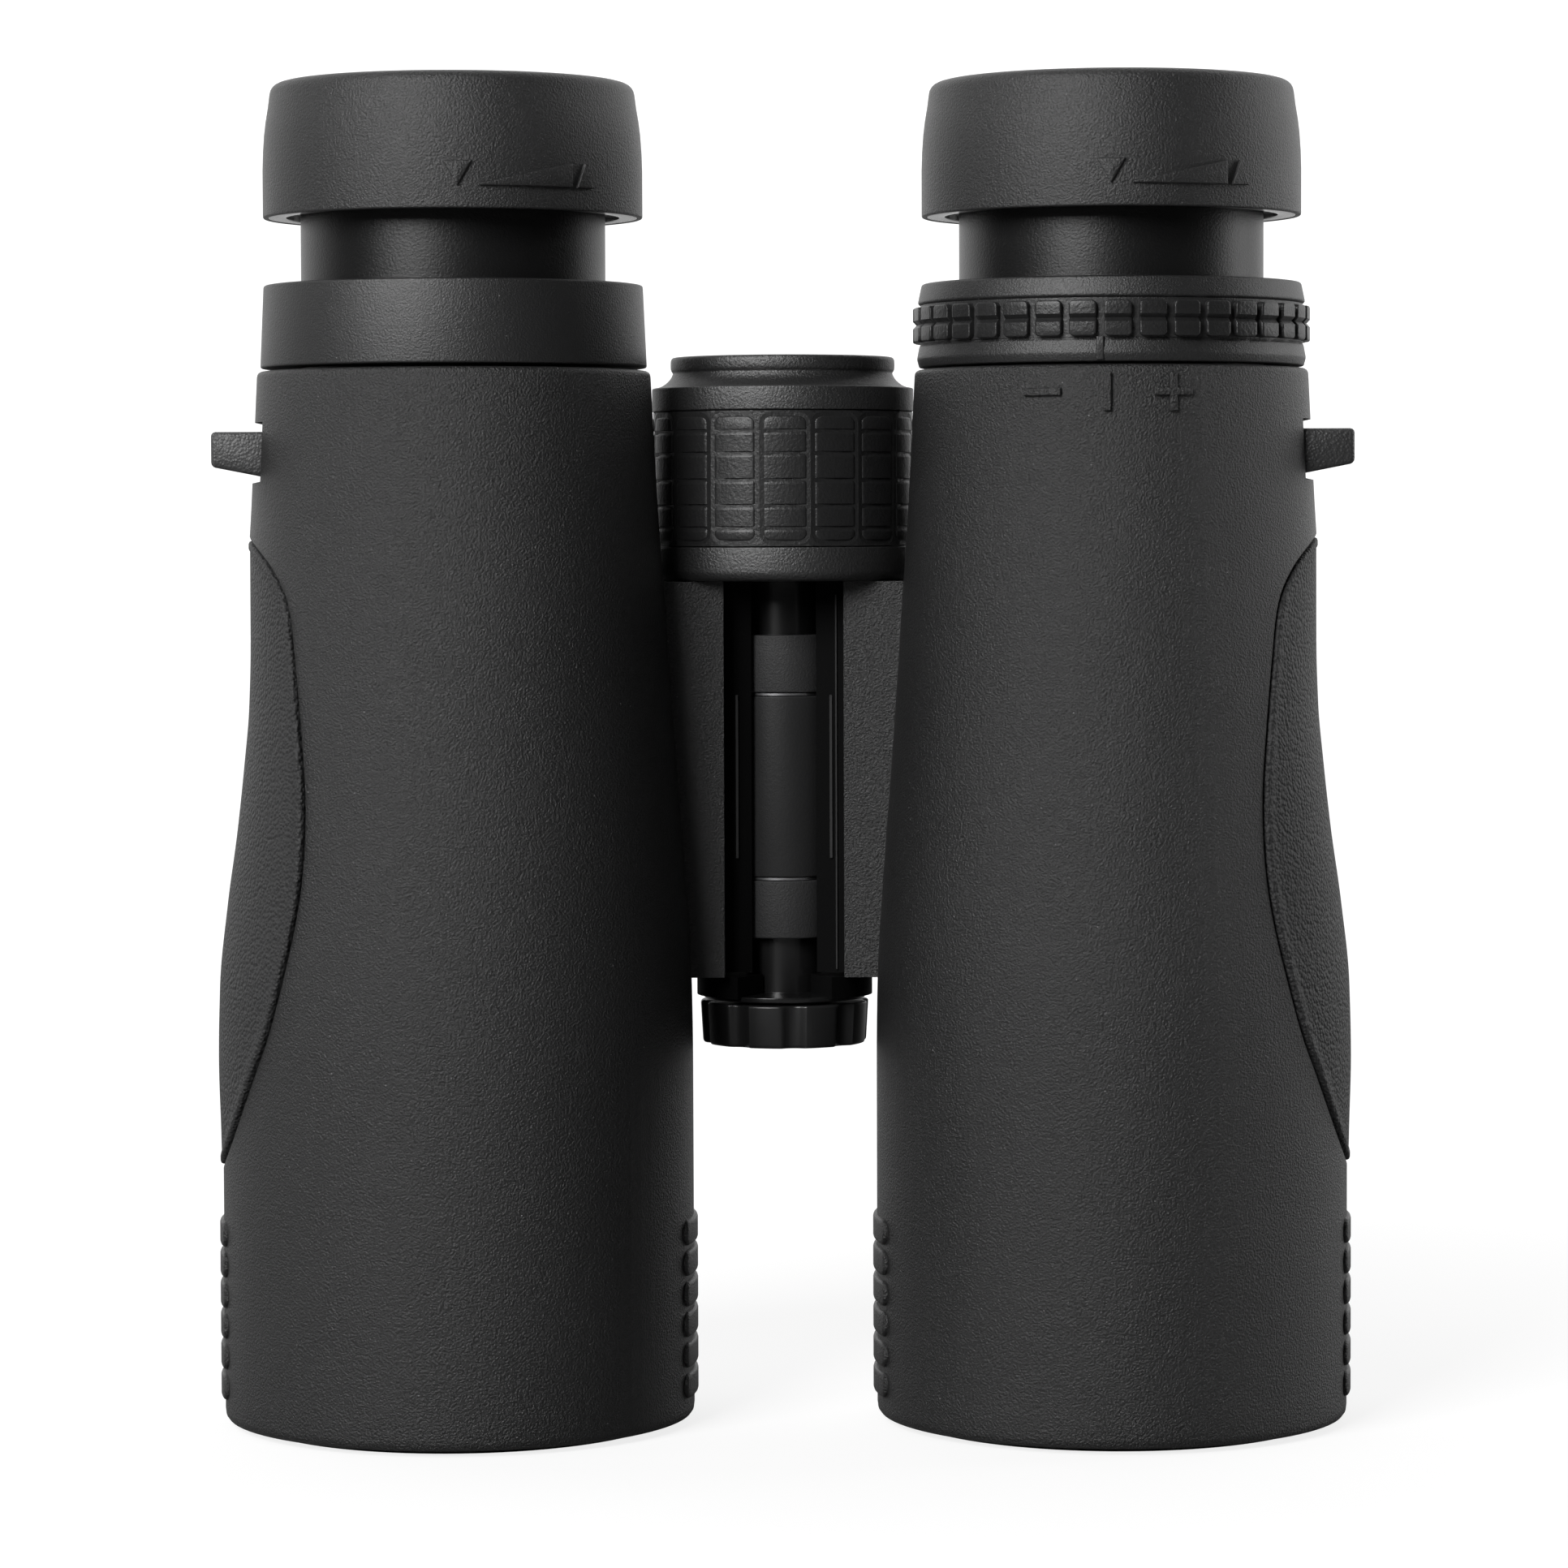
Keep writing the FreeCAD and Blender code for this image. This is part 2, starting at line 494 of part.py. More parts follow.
def eyepiece(prefix, side):
    """Eyepiece housing with the eye lens and its retaining ring."""
    outline = [("field_bore", "neck_bottom"), ("neck_flange", "neck_bottom"), ("neck_flange", "neck_step"),
               ("neck_radius", "neck_step"), ("neck_radius", "neck_top"), ("neck_radius - 1.2", "neck_top"),
               ("eye_bore", "eye_ring_top"), ("eye_bore", "eye_seat"), ("field_bore", "eye_seat")]
    housing = on_barrel(turned(prefix + "_housing_wall", outline), side)
    if side > 0:
        slot = box("right_pin_slot", ("axis_offset - 1.1", "neck_radius - 3", "neck_step + 0.1"),
                   ("axis_offset + 1.1", "neck_radius + 1", "neck_step + 4.9"))
        housing = cut("right_housing_cut", housing, slot)
    node(housing, prefix + "_eyepiece_housing")
    lens(prefix + "_eye_lens", side, "eye_bore - 0.1", "eye_seat + 1.6", "eye_ring_bottom", "27")
    ring = [("eye_bore - 1", "eye_ring_bottom"), ("eye_bore - 0.05", "eye_ring_bottom"),
            ("eye_bore - 0.05", "eye_ring_top"), ("eye_bore - 0.6", "eye_ring_top")]
    node(on_barrel(turned(prefix + "_eye_ring_body", ring), side), prefix + "_eye_lens_ring")


def lens(label, side, radius, bottom, top, curve):
    """A lens with two equal convex faces."""
    blank = cylinder(label + "_blank", radius, bottom, top, x="axis_offset", side=side)
    low = sphere(label + "_low", curve, bottom + " + " + curve, "axis_offset", side)
    high = sphere(label + "_high", curve, top + " - " + curve, "axis_offset", side)
    node(common(label + "_body", blank, low, high), label)


def eyecup(prefix, side):
    """Keyed sleeve that slides on the neck, with the shell and rubber cup that turn on it."""
    sleeve = [("sleeve_bore", "cup_bottom + 0.7"), ("sleeve_radius", "cup_bottom + 0.7"),
              ("sleeve_radius", "cup_top - 2.6"), ("sleeve_bore", "cup_top - 2.6")]
    node(on_barrel(turned(prefix + "_sleeve_body", sleeve), side), prefix + "_eyecup_sleeve")
    shell = [("shell_bore", "cup_bottom + 0.3"), ("shell_radius", "cup_bottom + 0.3"),
             ("shell_radius", "cup_top - 3.2"), ("shell_bore", "cup_top - 3.2")]
    node(on_barrel(turned(prefix + "_cup_shell_body", shell), side), prefix + "_eyecup_shell")
    rubber = [("shell_radius", "cup_bottom"), ("cup_radius", "cup_bottom"), ("cup_radius", "cup_straight"),
              ("cup_radius - 0.6", "cup_top - 1.4"), ("cup_radius - 1.9", "cup_top"), ("cup_mouth", "cup_top"),
              ("cup_mouth", "cup_top - 2.2"), ("shell_bore", "cup_top - 2.2"), ("shell_bore", "cup_top - 3.2"),
              ("shell_radius", "cup_top - 3.2")]
    node(on_barrel(turned(prefix + "_cup_rubber_body", rubber), side), prefix + "_eyecup_rubber")


def left_collar():
    outline = [("neck_radius + 0.05", "collar_bottom"), ("collar_wide", "collar_bottom"),
               ("collar_narrow", "collar_top"), ("neck_radius + 0.05", "collar_top")]
    node(on_barrel(turned("left_collar_body", outline), -1), "left_collar_ring")
    lens("left_field_lens", -1, "field_bore - 0.1", "neck_bottom + 2.8", "neck_bottom + 9", "40")


def diopter():
    """Ring on the right eyepiece, its grip band and the lens cell that it drives."""
    outline = [("pin_groove", "collar_bottom + 0.3"), ("diopter_floor + 0.1", "collar_bottom + 0.3"),
               ("diopter_floor + 0.5", "collar_bottom + 0.8"), ("diopter_floor + 0.2", "band_low - 0.4"),
               ("diopter_floor", "band_low - 0.1"), ("diopter_floor", "band_high + 0.1"),
               ("diopter_flange", "band_high + 0.6"), ("collar_narrow", "collar_top"),
               ("diopter_bore", "collar_top"), ("diopter_bore", "band_low + 2"), ("pin_groove", "band_low + 2")]
    node(on_barrel(turned("diopter_ring_body", outline), 1), "diopter_ring")
    top = "diopter_pad_radius"
    band = [("diopter_floor", "band_low"), (top, "band_low"), (top, "band_low + 1.6"),
            (top + " - 0.4", "band_low + 2"), (top, "band_low + 2.4"), (top, "band_high"),
            ("diopter_floor", "band_high")]
    grip = turned("diopter_grip_body", band)
    gap = [("diopter_floor + 0.2", "0 - 0.4"), ("diopter_pad_radius + 1", "0 - 0.4"),
           ("diopter_pad_radius + 1", "0.4"), ("diopter_floor + 0.2", "0.4")]
    node(on_barrel(ring_pocket(grip, "diopter_grip", gap, "diopter_pads"), 1), "diopter_grip")
    cell = [("field_bore - 1.7", "neck_bottom + 2.3"), ("field_bore - 0.3", "neck_bottom + 2.3"),
            ("field_bore - 0.3", "neck_bottom + 10.3"), ("field_bore - 1.7", "neck_bottom + 10.3")]
    wall = on_barrel(turned("diopter_cell_wall", cell), 1)
    pin = doc.addObject("Part::Cylinder", "diopter_pin")
    pin.Radius = 0.75
    pin.setExpression("Height", formula("pin_groove - 0.4 - field_bore + 0.8"))
    pin.Placement = FreeCAD.Placement(
        FreeCAD.Vector(), FreeCAD.Rotation(FreeCAD.Vector(1, 0, 0), -90))
    place(pin, "axis_offset", "field_bore - 0.8", "neck_step + 2.5")
    node(fuse("diopter_cell_body", wall, pin), "diopter_cell")
    lens("diopter_lens", 1, "field_bore - 1.8", "neck_bottom + 3.4", "neck_bottom + 9", "36")


def hinge_parts():
    """Shaft, friction washers, tripod socket and the nut that holds the wheel on."""
    wall = [("shaft_bore", "knuckle_low"), ("shaft_radius", "knuckle_low"), ("shaft_radius", "shaft_top"),
            ("shaft_bore", "shaft_top")]
    tube = place(turned("hinge_shaft_wall", wall), y="hinge_back")
    windows = hinge_windows("shaft_windows", "shaft_radius + 0.5", "shaft_window", -1)
    node(cut("hinge_shaft_body", tube, windows), "hinge_shaft")
    washers = []
    for name, low in (("washer_low", "knuckle_low_top"), ("washer_high", "knuckle_high - washer")):
        ring = [("shaft_radius + 0.05", low), ("knuckle_radius - 0.2", low),
                ("knuckle_radius - 0.2", low + " + washer"), ("shaft_radius + 0.05", low + " + washer")]
        washers.append(place(turned(name, ring), y="hinge_back"))
    node(fuse("hinge_washers_body", *washers), "hinge_washers")
    socket = [("socket_bore", "socket_mouth"), ("boss_radius", "socket_mouth"), ("boss_radius", "flange_bottom"),
              ("flange_radius", "flange_bottom"), ("flange_radius", "flange_top"), ("shaft_radius", "flange_top"),
              ("shaft_radius", "knuckle_low"), ("0", "knuckle_low"), ("0", "socket_end"),
              ("socket_bore", "socket_end")]
    node(place(turned("tripod_socket_body", socket), y="hinge_back"), "tripod_socket")
    nut = [("shaft_radius", "wheel_ledge + 0.3"), ("wheel_well - 0.5", "wheel_ledge + 0.3"),
           ("wheel_well - 0.5", "shaft_top - 0.6"), ("shaft_radius", "shaft_top - 0.6")]
    node(place(turned("wheel_nut_body", nut), y="hinge_back"), "wheel_retaining_nut")


def tripod_cap():
    """Fluted cap that screws over the socket's boss."""
    outline = [("0", "cap_bottom"), ("cap_low_radius - 0.8", "cap_bottom"), ("cap_low_radius", "cap_bottom + 0.6"),
               ("flange_radius", "cap_top - 0.4"), ("flange_radius - 0.2", "cap_top"),
               ("boss_radius + free_gap", "cap_top"), ("boss_radius + free_gap", "cap_floor"), ("0", "cap_floor")]
    cap = place(turned("tripod_cap_solid", outline), y="hinge_back")
    flutes = []
    count = int(amount("cap_flutes"))
    for i in range(count):
        turn = math.radians(-94 + 360.0 * i / count)
        flute = cylinder(f"cap_flute{i}", "flute_radius", "cap_bottom - 1", "cap_top + 1")
        flute.setExpression("Placement.Base.x", f"sizes.flute_centre * {math.cos(turn):.6f}")
        flute.setExpression("Placement.Base.y", f"sizes.hinge_back + sizes.flute_centre * {math.sin(turn):.6f}")
        flutes.append(flute)
    node(cut("tripod_cap_body", cap, *flutes), "tripod_cap")


def focus_wheel():
    """Hub, rubber grip band, the threaded nut that drives the rod, and the cap on top."""
    hub = [("wheel_bore", "wheel_bottom"), ("wheel_radius - 0.7", "wheel_bottom"),
           ("wheel_radius", "wheel_bottom + 0.8"), ("wheel_radius", "band_bottom"), ("wheel_band", "band_bottom"),
           ("wheel_band", "band_top"), ("wheel_radius", "band_top"), ("wheel_radius", "flare_top"),
           ("wheel_radius - 1.6", "flare_top + 0.6"), ("lip_neck", "flare_top + 1.6"),
           ("lip_radius", "flare_top + 2"), ("lip_radius", "wheel_top - 0.4"), ("lip_radius - 0.4", "wheel_top"),
           ("lip_radius - 1", "wheel_top"), ("lip_radius - 1", "wheel_top - 2"), ("wheel_well", "wheel_top - 2"),
           ("wheel_well", "wheel_ledge"), ("wheel_bore", "wheel_ledge")]
    node(place(turned("focus_hub_body", hub), y="hinge_back"), "focus_wheel_hub")
    top = "wheel_radius"
    band = [("wheel_band", "band_bottom + 0.1"), (top + " - 0.3", "band_bottom + 0.1"), (top, "pad_bottom")]
    for height in ("101", "103.5", "106.4", "109.4", "111.9"):
        band += [(top, height + " - 0.35"), (top + " - 0.4", height), (top, height + " + 0.35")]
    band += [(top, "pad_top"), (top + " - 0.3", "band_top - 0.1"), ("wheel_band", "band_top - 0.1")]
    grip = turned("focus_grip_body", band)
    gap = [("pad_floor", "0 - pad_gap_half"), ("wheel_radius + 1", "0 - pad_gap_half"),
           ("wheel_radius + 1", "pad_gap_half"), ("pad_floor", "pad_gap_half")]
    node(place(ring_pocket(grip, "focus_grip", gap, "wheel_pads"), y="hinge_back"), "focus_wheel_grip")
    grip.Placement.Rotation = FreeCAD.Rotation(FreeCAD.Vector(0, 0, 1), 360.0 / amount("wheel_pads") / 2)
    nut = [("rod_radius + running_gap", "shaft_top + 1"), ("wheel_well - 0.1", "shaft_top + 1"),
           ("wheel_well - 0.1", "wheel_top - 2.4"), ("rod_radius + running_gap", "wheel_top - 2.4")]
    node(place(turned("drive_nut_body", nut), y="hinge_back"), "focus_drive_nut")
    cap = [("0", "wheel_top - 1.9"), ("lip_radius - 1.1", "wheel_top - 1.9"),
           ("lip_radius - 1.1", "wheel_top - 0.9"), ("lip_radius - 1.5", "wheel_top - 0.5"),
           ("0", "wheel_top - 0.5")]
    node(place(turned("wheel_cap_body", cap), y="hinge_back"), "focus_wheel_cap")


def focus_rod():
    """Threaded rod inside the hinge shaft, with two collars that carry the arms."""
    edge = "collar_radius"
    outline = [("0", "rod_bottom"), ("rod_radius", "rod_bottom"), ("rod_radius", "collar_low"),
               (edge, "collar_low"), (edge, "collar_low + collar_long"), ("rod_radius", "collar_low + collar_long"),
               ("rod_radius", "collar_high"), (edge, "collar_high"), (edge, "collar_high + collar_long"),
               ("rod_radius", "collar_high + collar_long"), ("rod_radius", "rod_top"), ("0", "rod_top")]
    node(place(turned("focus_rod_body", outline), y="hinge_back"), "focus_rod")


def check_document():
    for item in doc.Objects:
        if "Invalid" in item.State or "Error" in item.State:
            raise RuntimeError(f"{item.Name} failed: {item.State}")
    for item in nodes:
        if item.Shape.isNull() or not item.Shape.isValid():
            raise RuntimeError(f"{item.Label} has no valid shape")


def write_parts():
    os.makedirs("parts", exist_ok=True)
    for item in nodes:
        item.Shape.exportStep(f"parts/{item.Label}.step")
        print(f"{item.Label}: {item.Shape.Volume:.0f} mm3, {len(item.Shape.Solids)} solid(s)")
    print(len(nodes), "pieces")


fill_sheet()
for prefix, side in (("left", -1), ("right", 1)):
    casting(prefix, side)
    skin_and_grip(prefix, side)
    strap_lug(prefix, side)
    objective(prefix, side)
    focusing_cell(prefix, side)
    prisms(prefix, side)
    eyepiece(prefix, side)
    eyecup(prefix, side)
left_collar()
diopter()
hinge_parts()
tripod_cap()
focus_wheel()
focus_rod()
doc.recompute()
check_document()
write_parts()
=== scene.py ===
import bpy
import bmesh
import json
import math
from mathutils import Matrix, Vector


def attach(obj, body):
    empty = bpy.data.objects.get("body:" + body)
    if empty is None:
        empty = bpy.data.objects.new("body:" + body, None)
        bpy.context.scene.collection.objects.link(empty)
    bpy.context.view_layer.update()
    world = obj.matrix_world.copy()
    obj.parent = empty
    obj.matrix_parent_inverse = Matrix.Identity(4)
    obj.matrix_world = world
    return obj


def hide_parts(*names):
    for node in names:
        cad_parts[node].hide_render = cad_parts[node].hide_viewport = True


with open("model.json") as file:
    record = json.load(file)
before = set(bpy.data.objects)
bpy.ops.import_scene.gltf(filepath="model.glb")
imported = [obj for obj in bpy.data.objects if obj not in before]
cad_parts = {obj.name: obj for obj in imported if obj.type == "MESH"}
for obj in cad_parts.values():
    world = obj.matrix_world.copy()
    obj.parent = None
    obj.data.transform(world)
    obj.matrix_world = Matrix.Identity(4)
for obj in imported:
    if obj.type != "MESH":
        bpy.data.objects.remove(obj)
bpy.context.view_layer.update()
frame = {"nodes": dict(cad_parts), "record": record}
mm = 0.001      # every shape below is drawn in millimetres and scaled once
leftAxis = (-37.0, 0.0)
rightAxis = (37.0, 0.0)
hingeAxis = (0.0, 11.0)
axes = {"left": leftAxis, "right": rightAxis}
outward = {"left": -90.0, "right": 90.0}      # direction away from the hinge, from the underside towards +X


def onRound(centre, radius, theta, height):
    # a point about an upright axis, theta in degrees from the underside (-Y) towards +X
    turn = math.radians(theta)
    return (centre[0] + radius * math.sin(turn), centre[1] - radius * math.cos(turn), height)


def along(keys, x):
    # smooth curve through (x, y) keys with no overshoot
    if x <= keys[0][0]:
        return keys[0][1]
    for i in range(len(keys) - 1):
        (x0, y0), (x1, y1) = keys[i], keys[i + 1]
        if x <= x1:
            slope = (y1 - y0) / (x1 - x0)
            before = (y0 - keys[i - 1][1]) / (x0 - keys[i - 1][0]) if i > 0 else slope
            after = (keys[i + 2][1] - y1) / (keys[i + 2][0] - x1) if i + 2 < len(keys) else slope
            m0 = 0 if before * slope <= 0 else 2 * before * slope / (before + slope)
            m1 = 0 if after * slope <= 0 else 2 * after * slope / (after + slope)
            t = (x - x0) / (x1 - x0)
            span = x1 - x0
            return ((1 + 2 * t) * (1 - t) ** 2 * y0 + t * (1 - t) ** 2 * span * m0
                    + t * t * (3 - 2 * t) * y1 + t * t * (t - 1) * span * m1)
    return keys[-1][1]


def newShape():
    return {"verts": [], "faces": []}


def addTo(shape, verts, faces):
    base = len(shape["verts"])
    shape["verts"] += verts
    shape["faces"] += [[base + i for i in face] for face in faces]


def softened(points, steps=4):
    # rounds the corners of a closed outline; each point is (a, b, trim)
    result = []
    for i, (a, b, trim) in enumerate(points):
        if trim <= 0:
            result.append((a, b))
            continue
        here = Vector((a, b))
        sides = []
        for other in (points[i - 1], points[(i + 1) % len(points)]):
            edge = Vector(other[:2]) - here
            sides.append(here + edge.normalized() * min(trim, edge.length * 0.45))
        for k in range(steps + 1):
            t = k / steps
            p = sides[0] * (1 - t) ** 2 + here * 2 * t * (1 - t) + sides[1] * t * t
            result.append((p.x, p.y))
    return result


def ringFaces(rows, size, keep=None):
    # joins rows of points, each a closed ring, for every (row, next row) in rows
    faces = []
    for i, j in rows:
        for k in range(size):
            n = (k + 1) % size
            if not keep or keep(i, j, k, n):
                faces.append([i * size + k, i * size + n, j * size + n, j * size + k])
    return faces


def lathe(shape, centre, points, segments=96, steps=4, dip=None):
    # turns a closed outline of (radius, height, corner trim) about an upright axis
    outline = softened(points, steps)
    verts = []
    for radius, height in outline:
        for k in range(segments):
            theta = 360 * k / segments
            verts.append(onRound(centre, radius - (dip(radius, theta) if dip else 0), theta, height))
    closed = [(i, (i + 1) % len(outline)) for i in range(len(outline))]
    rows = [(i, j) for i, j in closed if max(outline[i][0], outline[j][0]) >= 1e-6]
    addTo(shape, verts, ringFaces(rows, segments))


def openRows(count):
    return [(i, i + 1) for i in range(count - 1)]


def prism(shape, outline, low, high, bevel=0.0, steps=2):
    # an upright block over an outline in plan, with its edges rounded
    bm = bmesh.new()
    bottom = [bm.verts.new((x, y, low)) for x, y in outline]
    top = [bm.verts.new((x, y, high)) for x, y in outline]
    bm.faces.new(bottom[::-1])
    bm.faces.new(top)
    count = len(outline)
    for i in range(count):
        j = (i + 1) % count
        bm.faces.new((bottom[i], bottom[j], top[j], top[i]))
    if bevel > 0:
        sharp = [e for e in bm.edges if e.calc_face_angle(0) > 0.5]
        bmesh.ops.bevel(bm, geom=sharp, offset=bevel, segments=steps, profile=0.5, affect="EDGES")
    bm.verts.ensure_lookup_table()
    addTo(shape, [tuple(v.co) for v in bm.verts], [[v.index for v in f.verts] for f in bm.faces])
    bm.free()


def surfacePad(shape, pad, place):
    # a raised pad on a surface: outline between low(s) and high(s), place(s, z, lift) puts it in space
    half, edge, lift, bury = pad["half"], pad["edge"], pad["lift"], pad["bury"]
    across = [0, 0, 0.15 * edge, 0.45 * edge, edge]
    corner = pad.get("corner", 0)
    extra = [corner * f for f in (0.25, 0.5, 0.75, 1.0) if corner * f > edge]
    inner = pad.get("columns", 6)
    left = [-half + d for d in across + extra]
    first = -left[-1]
    columns = left + [-first + 2 * first * k / inner for k in range(1, inner)] + [-s for s in left[::-1]]
    verts = []
    rowCount = 0
    for n, s in enumerate(columns):
        low, high = pad["low"](s), pad["high"](s)
        room = (high - low) / 2
        steps = [min(d, room) for d in across]
        heights = [low + d for d in steps]
        heights += [min(max(z, low + steps[-1]), high - steps[-1]) for z in pad["rows"]]
        heights += [high - d for d in steps[::-1]]
        rowCount = len(heights)
        for m, z in enumerate(heights):
            skirt = n in (0, len(columns) - 1) or m in (0, rowCount - 1)
            gap = max(0.0, min(half - abs(s), z - low, high - z))
            drop = edge - math.sqrt(max(0.0, edge ** 2 - max(0.0, edge - gap) ** 2))
            rise = -bury if skirt else lift - min(drop, edge) - pad["dent"](z)
            verts.append(place(s, z, rise))
    faces = []
    for n in range(len(columns) - 1):
        for m in range(rowCount - 1):
            a = n * rowCount + m
            faces.append([a, a + rowCount, a + rowCount + 1, a + 1])
    addTo(shape, verts, faces)


def roundedPad(half, low, high, corner, lift, edge, bury=0.4, rows=(), dent=None, columns=6):
    # a rounded rectangle for surfacePad
    def inset(s):
        over = abs(s) - (half - corner)
        return corner - math.sqrt(max(0.0, corner ** 2 - over ** 2)) if over > 0 else 0.0
    return {"half": half, "low": lambda s: low + inset(s), "high": lambda s: high - inset(s),
            "corner": corner, "lift": lift, "edge": edge, "bury": bury, "rows": list(rows),
            "dent": dent or (lambda z: 0.0), "columns": columns}


def padOnRound(shape, pad, centre, theta, radiusAt, arcAt=None):
    # lays a pad on a round surface; arcAt is the radius its width is measured at
    arcAt = arcAt or radiusAt
    surfacePad(shape, pad, lambda s, z, rise: onRound(
        centre, radiusAt(z) + rise, theta + math.degrees(s / arcAt(z)), z))


def placed(name, data):
    # a new object of the scene
    item = bpy.data.objects.new(name, data)
    bpy.context.scene.collection.objects.link(item)
    return item


def makePiece(name, shape, look, shadeAngle=32):
    # turns a shape into a finished mesh object at the origin
    mesh = bpy.data.meshes.new(name)
    bm = bmesh.new()
    verts = [bm.verts.new((x * mm, y * mm, z * mm)) for x, y, z in shape["verts"]]
    for face in shape["faces"]:
        try:
            bm.faces.new([verts[i] for i in face])
        except ValueError:
            pass      # the same face twice, or a side that has closed up
    bmesh.ops.remove_doubles(bm, verts=bm.verts, dist=1e-7)
    bmesh.ops.dissolve_degenerate(bm, edges=bm.edges, dist=1e-8)
    rim = [e for e in bm.edges if e.is_boundary]
    if rim:
        bmesh.ops.holes_fill(bm, edges=rim, sides=0)
    bmesh.ops.recalc_face_normals(bm, faces=bm.faces)
    bm.to_mesh(mesh)
    bm.free()
    mesh.materials.append(look)
    mesh.shade_smooth()
    mesh.set_sharp_from_angle(angle=math.radians(shadeAngle))
    return placed(name, mesh)


def joinPieces(name, pieces):
    # makes one mesh of several pieces that share a look
    bm = bmesh.new()
    for piece in pieces:
        bm.from_mesh(piece.data)
    mesh = bpy.data.meshes.new(name)
    bm.to_mesh(mesh)
    bm.free()
    for look in pieces[0].data.materials:
        mesh.materials.append(look)
    for piece in pieces:
        bpy.data.objects.remove(piece)
    return placed(name, mesh)


def repeatTree():
    # geometry nodes: copies of the incoming piece, each turned and raised by one more step
    tree = bpy.data.node_groups.new("repeatAbout", "GeometryNodeTree")
    face, node = tree.interface, tree.nodes.new
    for name, kind in (("Geometry", "Geometry"), ("Count", "Int"), ("Turn", "Float"), ("Rise", "Float"),
                       ("Look", "Material")):
        face.new_socket(name, in_out="INPUT", socket_type="NodeSocket" + kind)
    face.new_socket("Geometry", in_out="OUTPUT", socket_type="NodeSocketGeometry")
    given, result = node("NodeGroupInput").outputs, node("NodeGroupOutput")
    line, index, copies, real, paint = (
        node("GeometryNode" + kind)
        for kind in ("MeshLine", "InputIndex", "InstanceOnPoints", "RealizeInstances", "SetMaterial"))
    turn, rise, angles = (node("ShaderNode" + kind) for kind in ("Math", "CombineXYZ", "CombineXYZ"))
    turn.operation = "MULTIPLY"
    for start, end in (
            (given["Count"], line.inputs["Count"]), (given["Rise"], rise.inputs["Z"]),
            (rise.outputs[0], line.inputs["Offset"]), (index.outputs[0], turn.inputs[0]),
            (given["Turn"], turn.inputs[1]), (turn.outputs[0], angles.inputs["Z"]),
            (line.outputs["Mesh"], copies.inputs["Points"]), (given["Geometry"], copies.inputs["Instance"]),
            (angles.outputs[0], copies.inputs["Rotation"]),
            (copies.outputs["Instances"], real.inputs["Geometry"]),
            (real.outputs["Geometry"], paint.inputs["Geometry"]), (given["Look"], paint.inputs["Material"]),
            (paint.outputs["Geometry"], result.inputs["Geometry"])):
        tree.links.new(start, end)
    return tree


repeatAbout = repeatTree()


def repeated(piece, centre, count, turn, rise=0.0):
    # repeats a piece drawn about the world axis, then moves the result to its own axis
    modifier = piece.modifiers.new("repeat", "NODES")
    modifier.node_group = repeatAbout
    values = {"Count": count, "Turn": math.radians(turn), "Rise": rise * mm, "Look": piece.data.materials[0]}
    for socket in repeatAbout.interface.items_tree:
        if socket.in_out == "INPUT" and socket.name in values:
            modifier[socket.identifier] = values[socket.name]
    bpy.context.view_layer.update()
    depsgraph = bpy.context.evaluated_depsgraph_get()
    mesh = bpy.data.meshes.new_from_object(piece.evaluated_get(depsgraph))
    piece.modifiers.remove(modifier)
    mesh.transform(Matrix.Translation((centre[0] * mm, centre[1] * mm, 0)))
    piece.data = mesh
    return piece


def finish(piece, body, slot, *nodes):
    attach(piece, body)
    if nodes:
        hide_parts(*nodes)


def turned(name, centre, piece, look, body, slot, node):
    # one lathe piece from its dictionary, finished
    shape = newShape()
    lathe(shape, centre, piece["outline"], piece.get("segments", 96))
    finish(makePiece(name, shape, looks[look]), body, slot, node)


def addNode(tree, kind, values, **settings):
    # a shader node with its settings; each value is for one input, a plain value or another node's output
    node = tree.nodes.new("ShaderNode" + kind)
    for name, value in settings.items():
        setattr(node, name, value)
    feed(tree, node, values)
    return node.outputs


def feed(tree, node, values):
    for name, value in values.items():
        if isinstance(value, bpy.types.NodeSocket):
            tree.links.new(value, node.inputs[name])
        else:
            node.inputs[name].default_value = value


def newLook(name):
    look = bpy.data.materials.new(name)
    look.use_nodes = True
    return look, look.node_tree, look.node_tree.nodes["Principled BSDF"]


texture = {
    "detail": 3.0, "roughness": 0.6, "broad": 55.0, "broadDetail": 4.0, "share": 0.5, "dull": 0.06,
    "wornFrom": 0.52, "wornTo": 0.6, "wornGain": 3, "wornAdd": 0.05, "dustScale": 420.0,
    "dustTone": (0.14, 0.14, 0.14, 1), "smooth": 0.4, "pebbleDepth": 2.5,
}


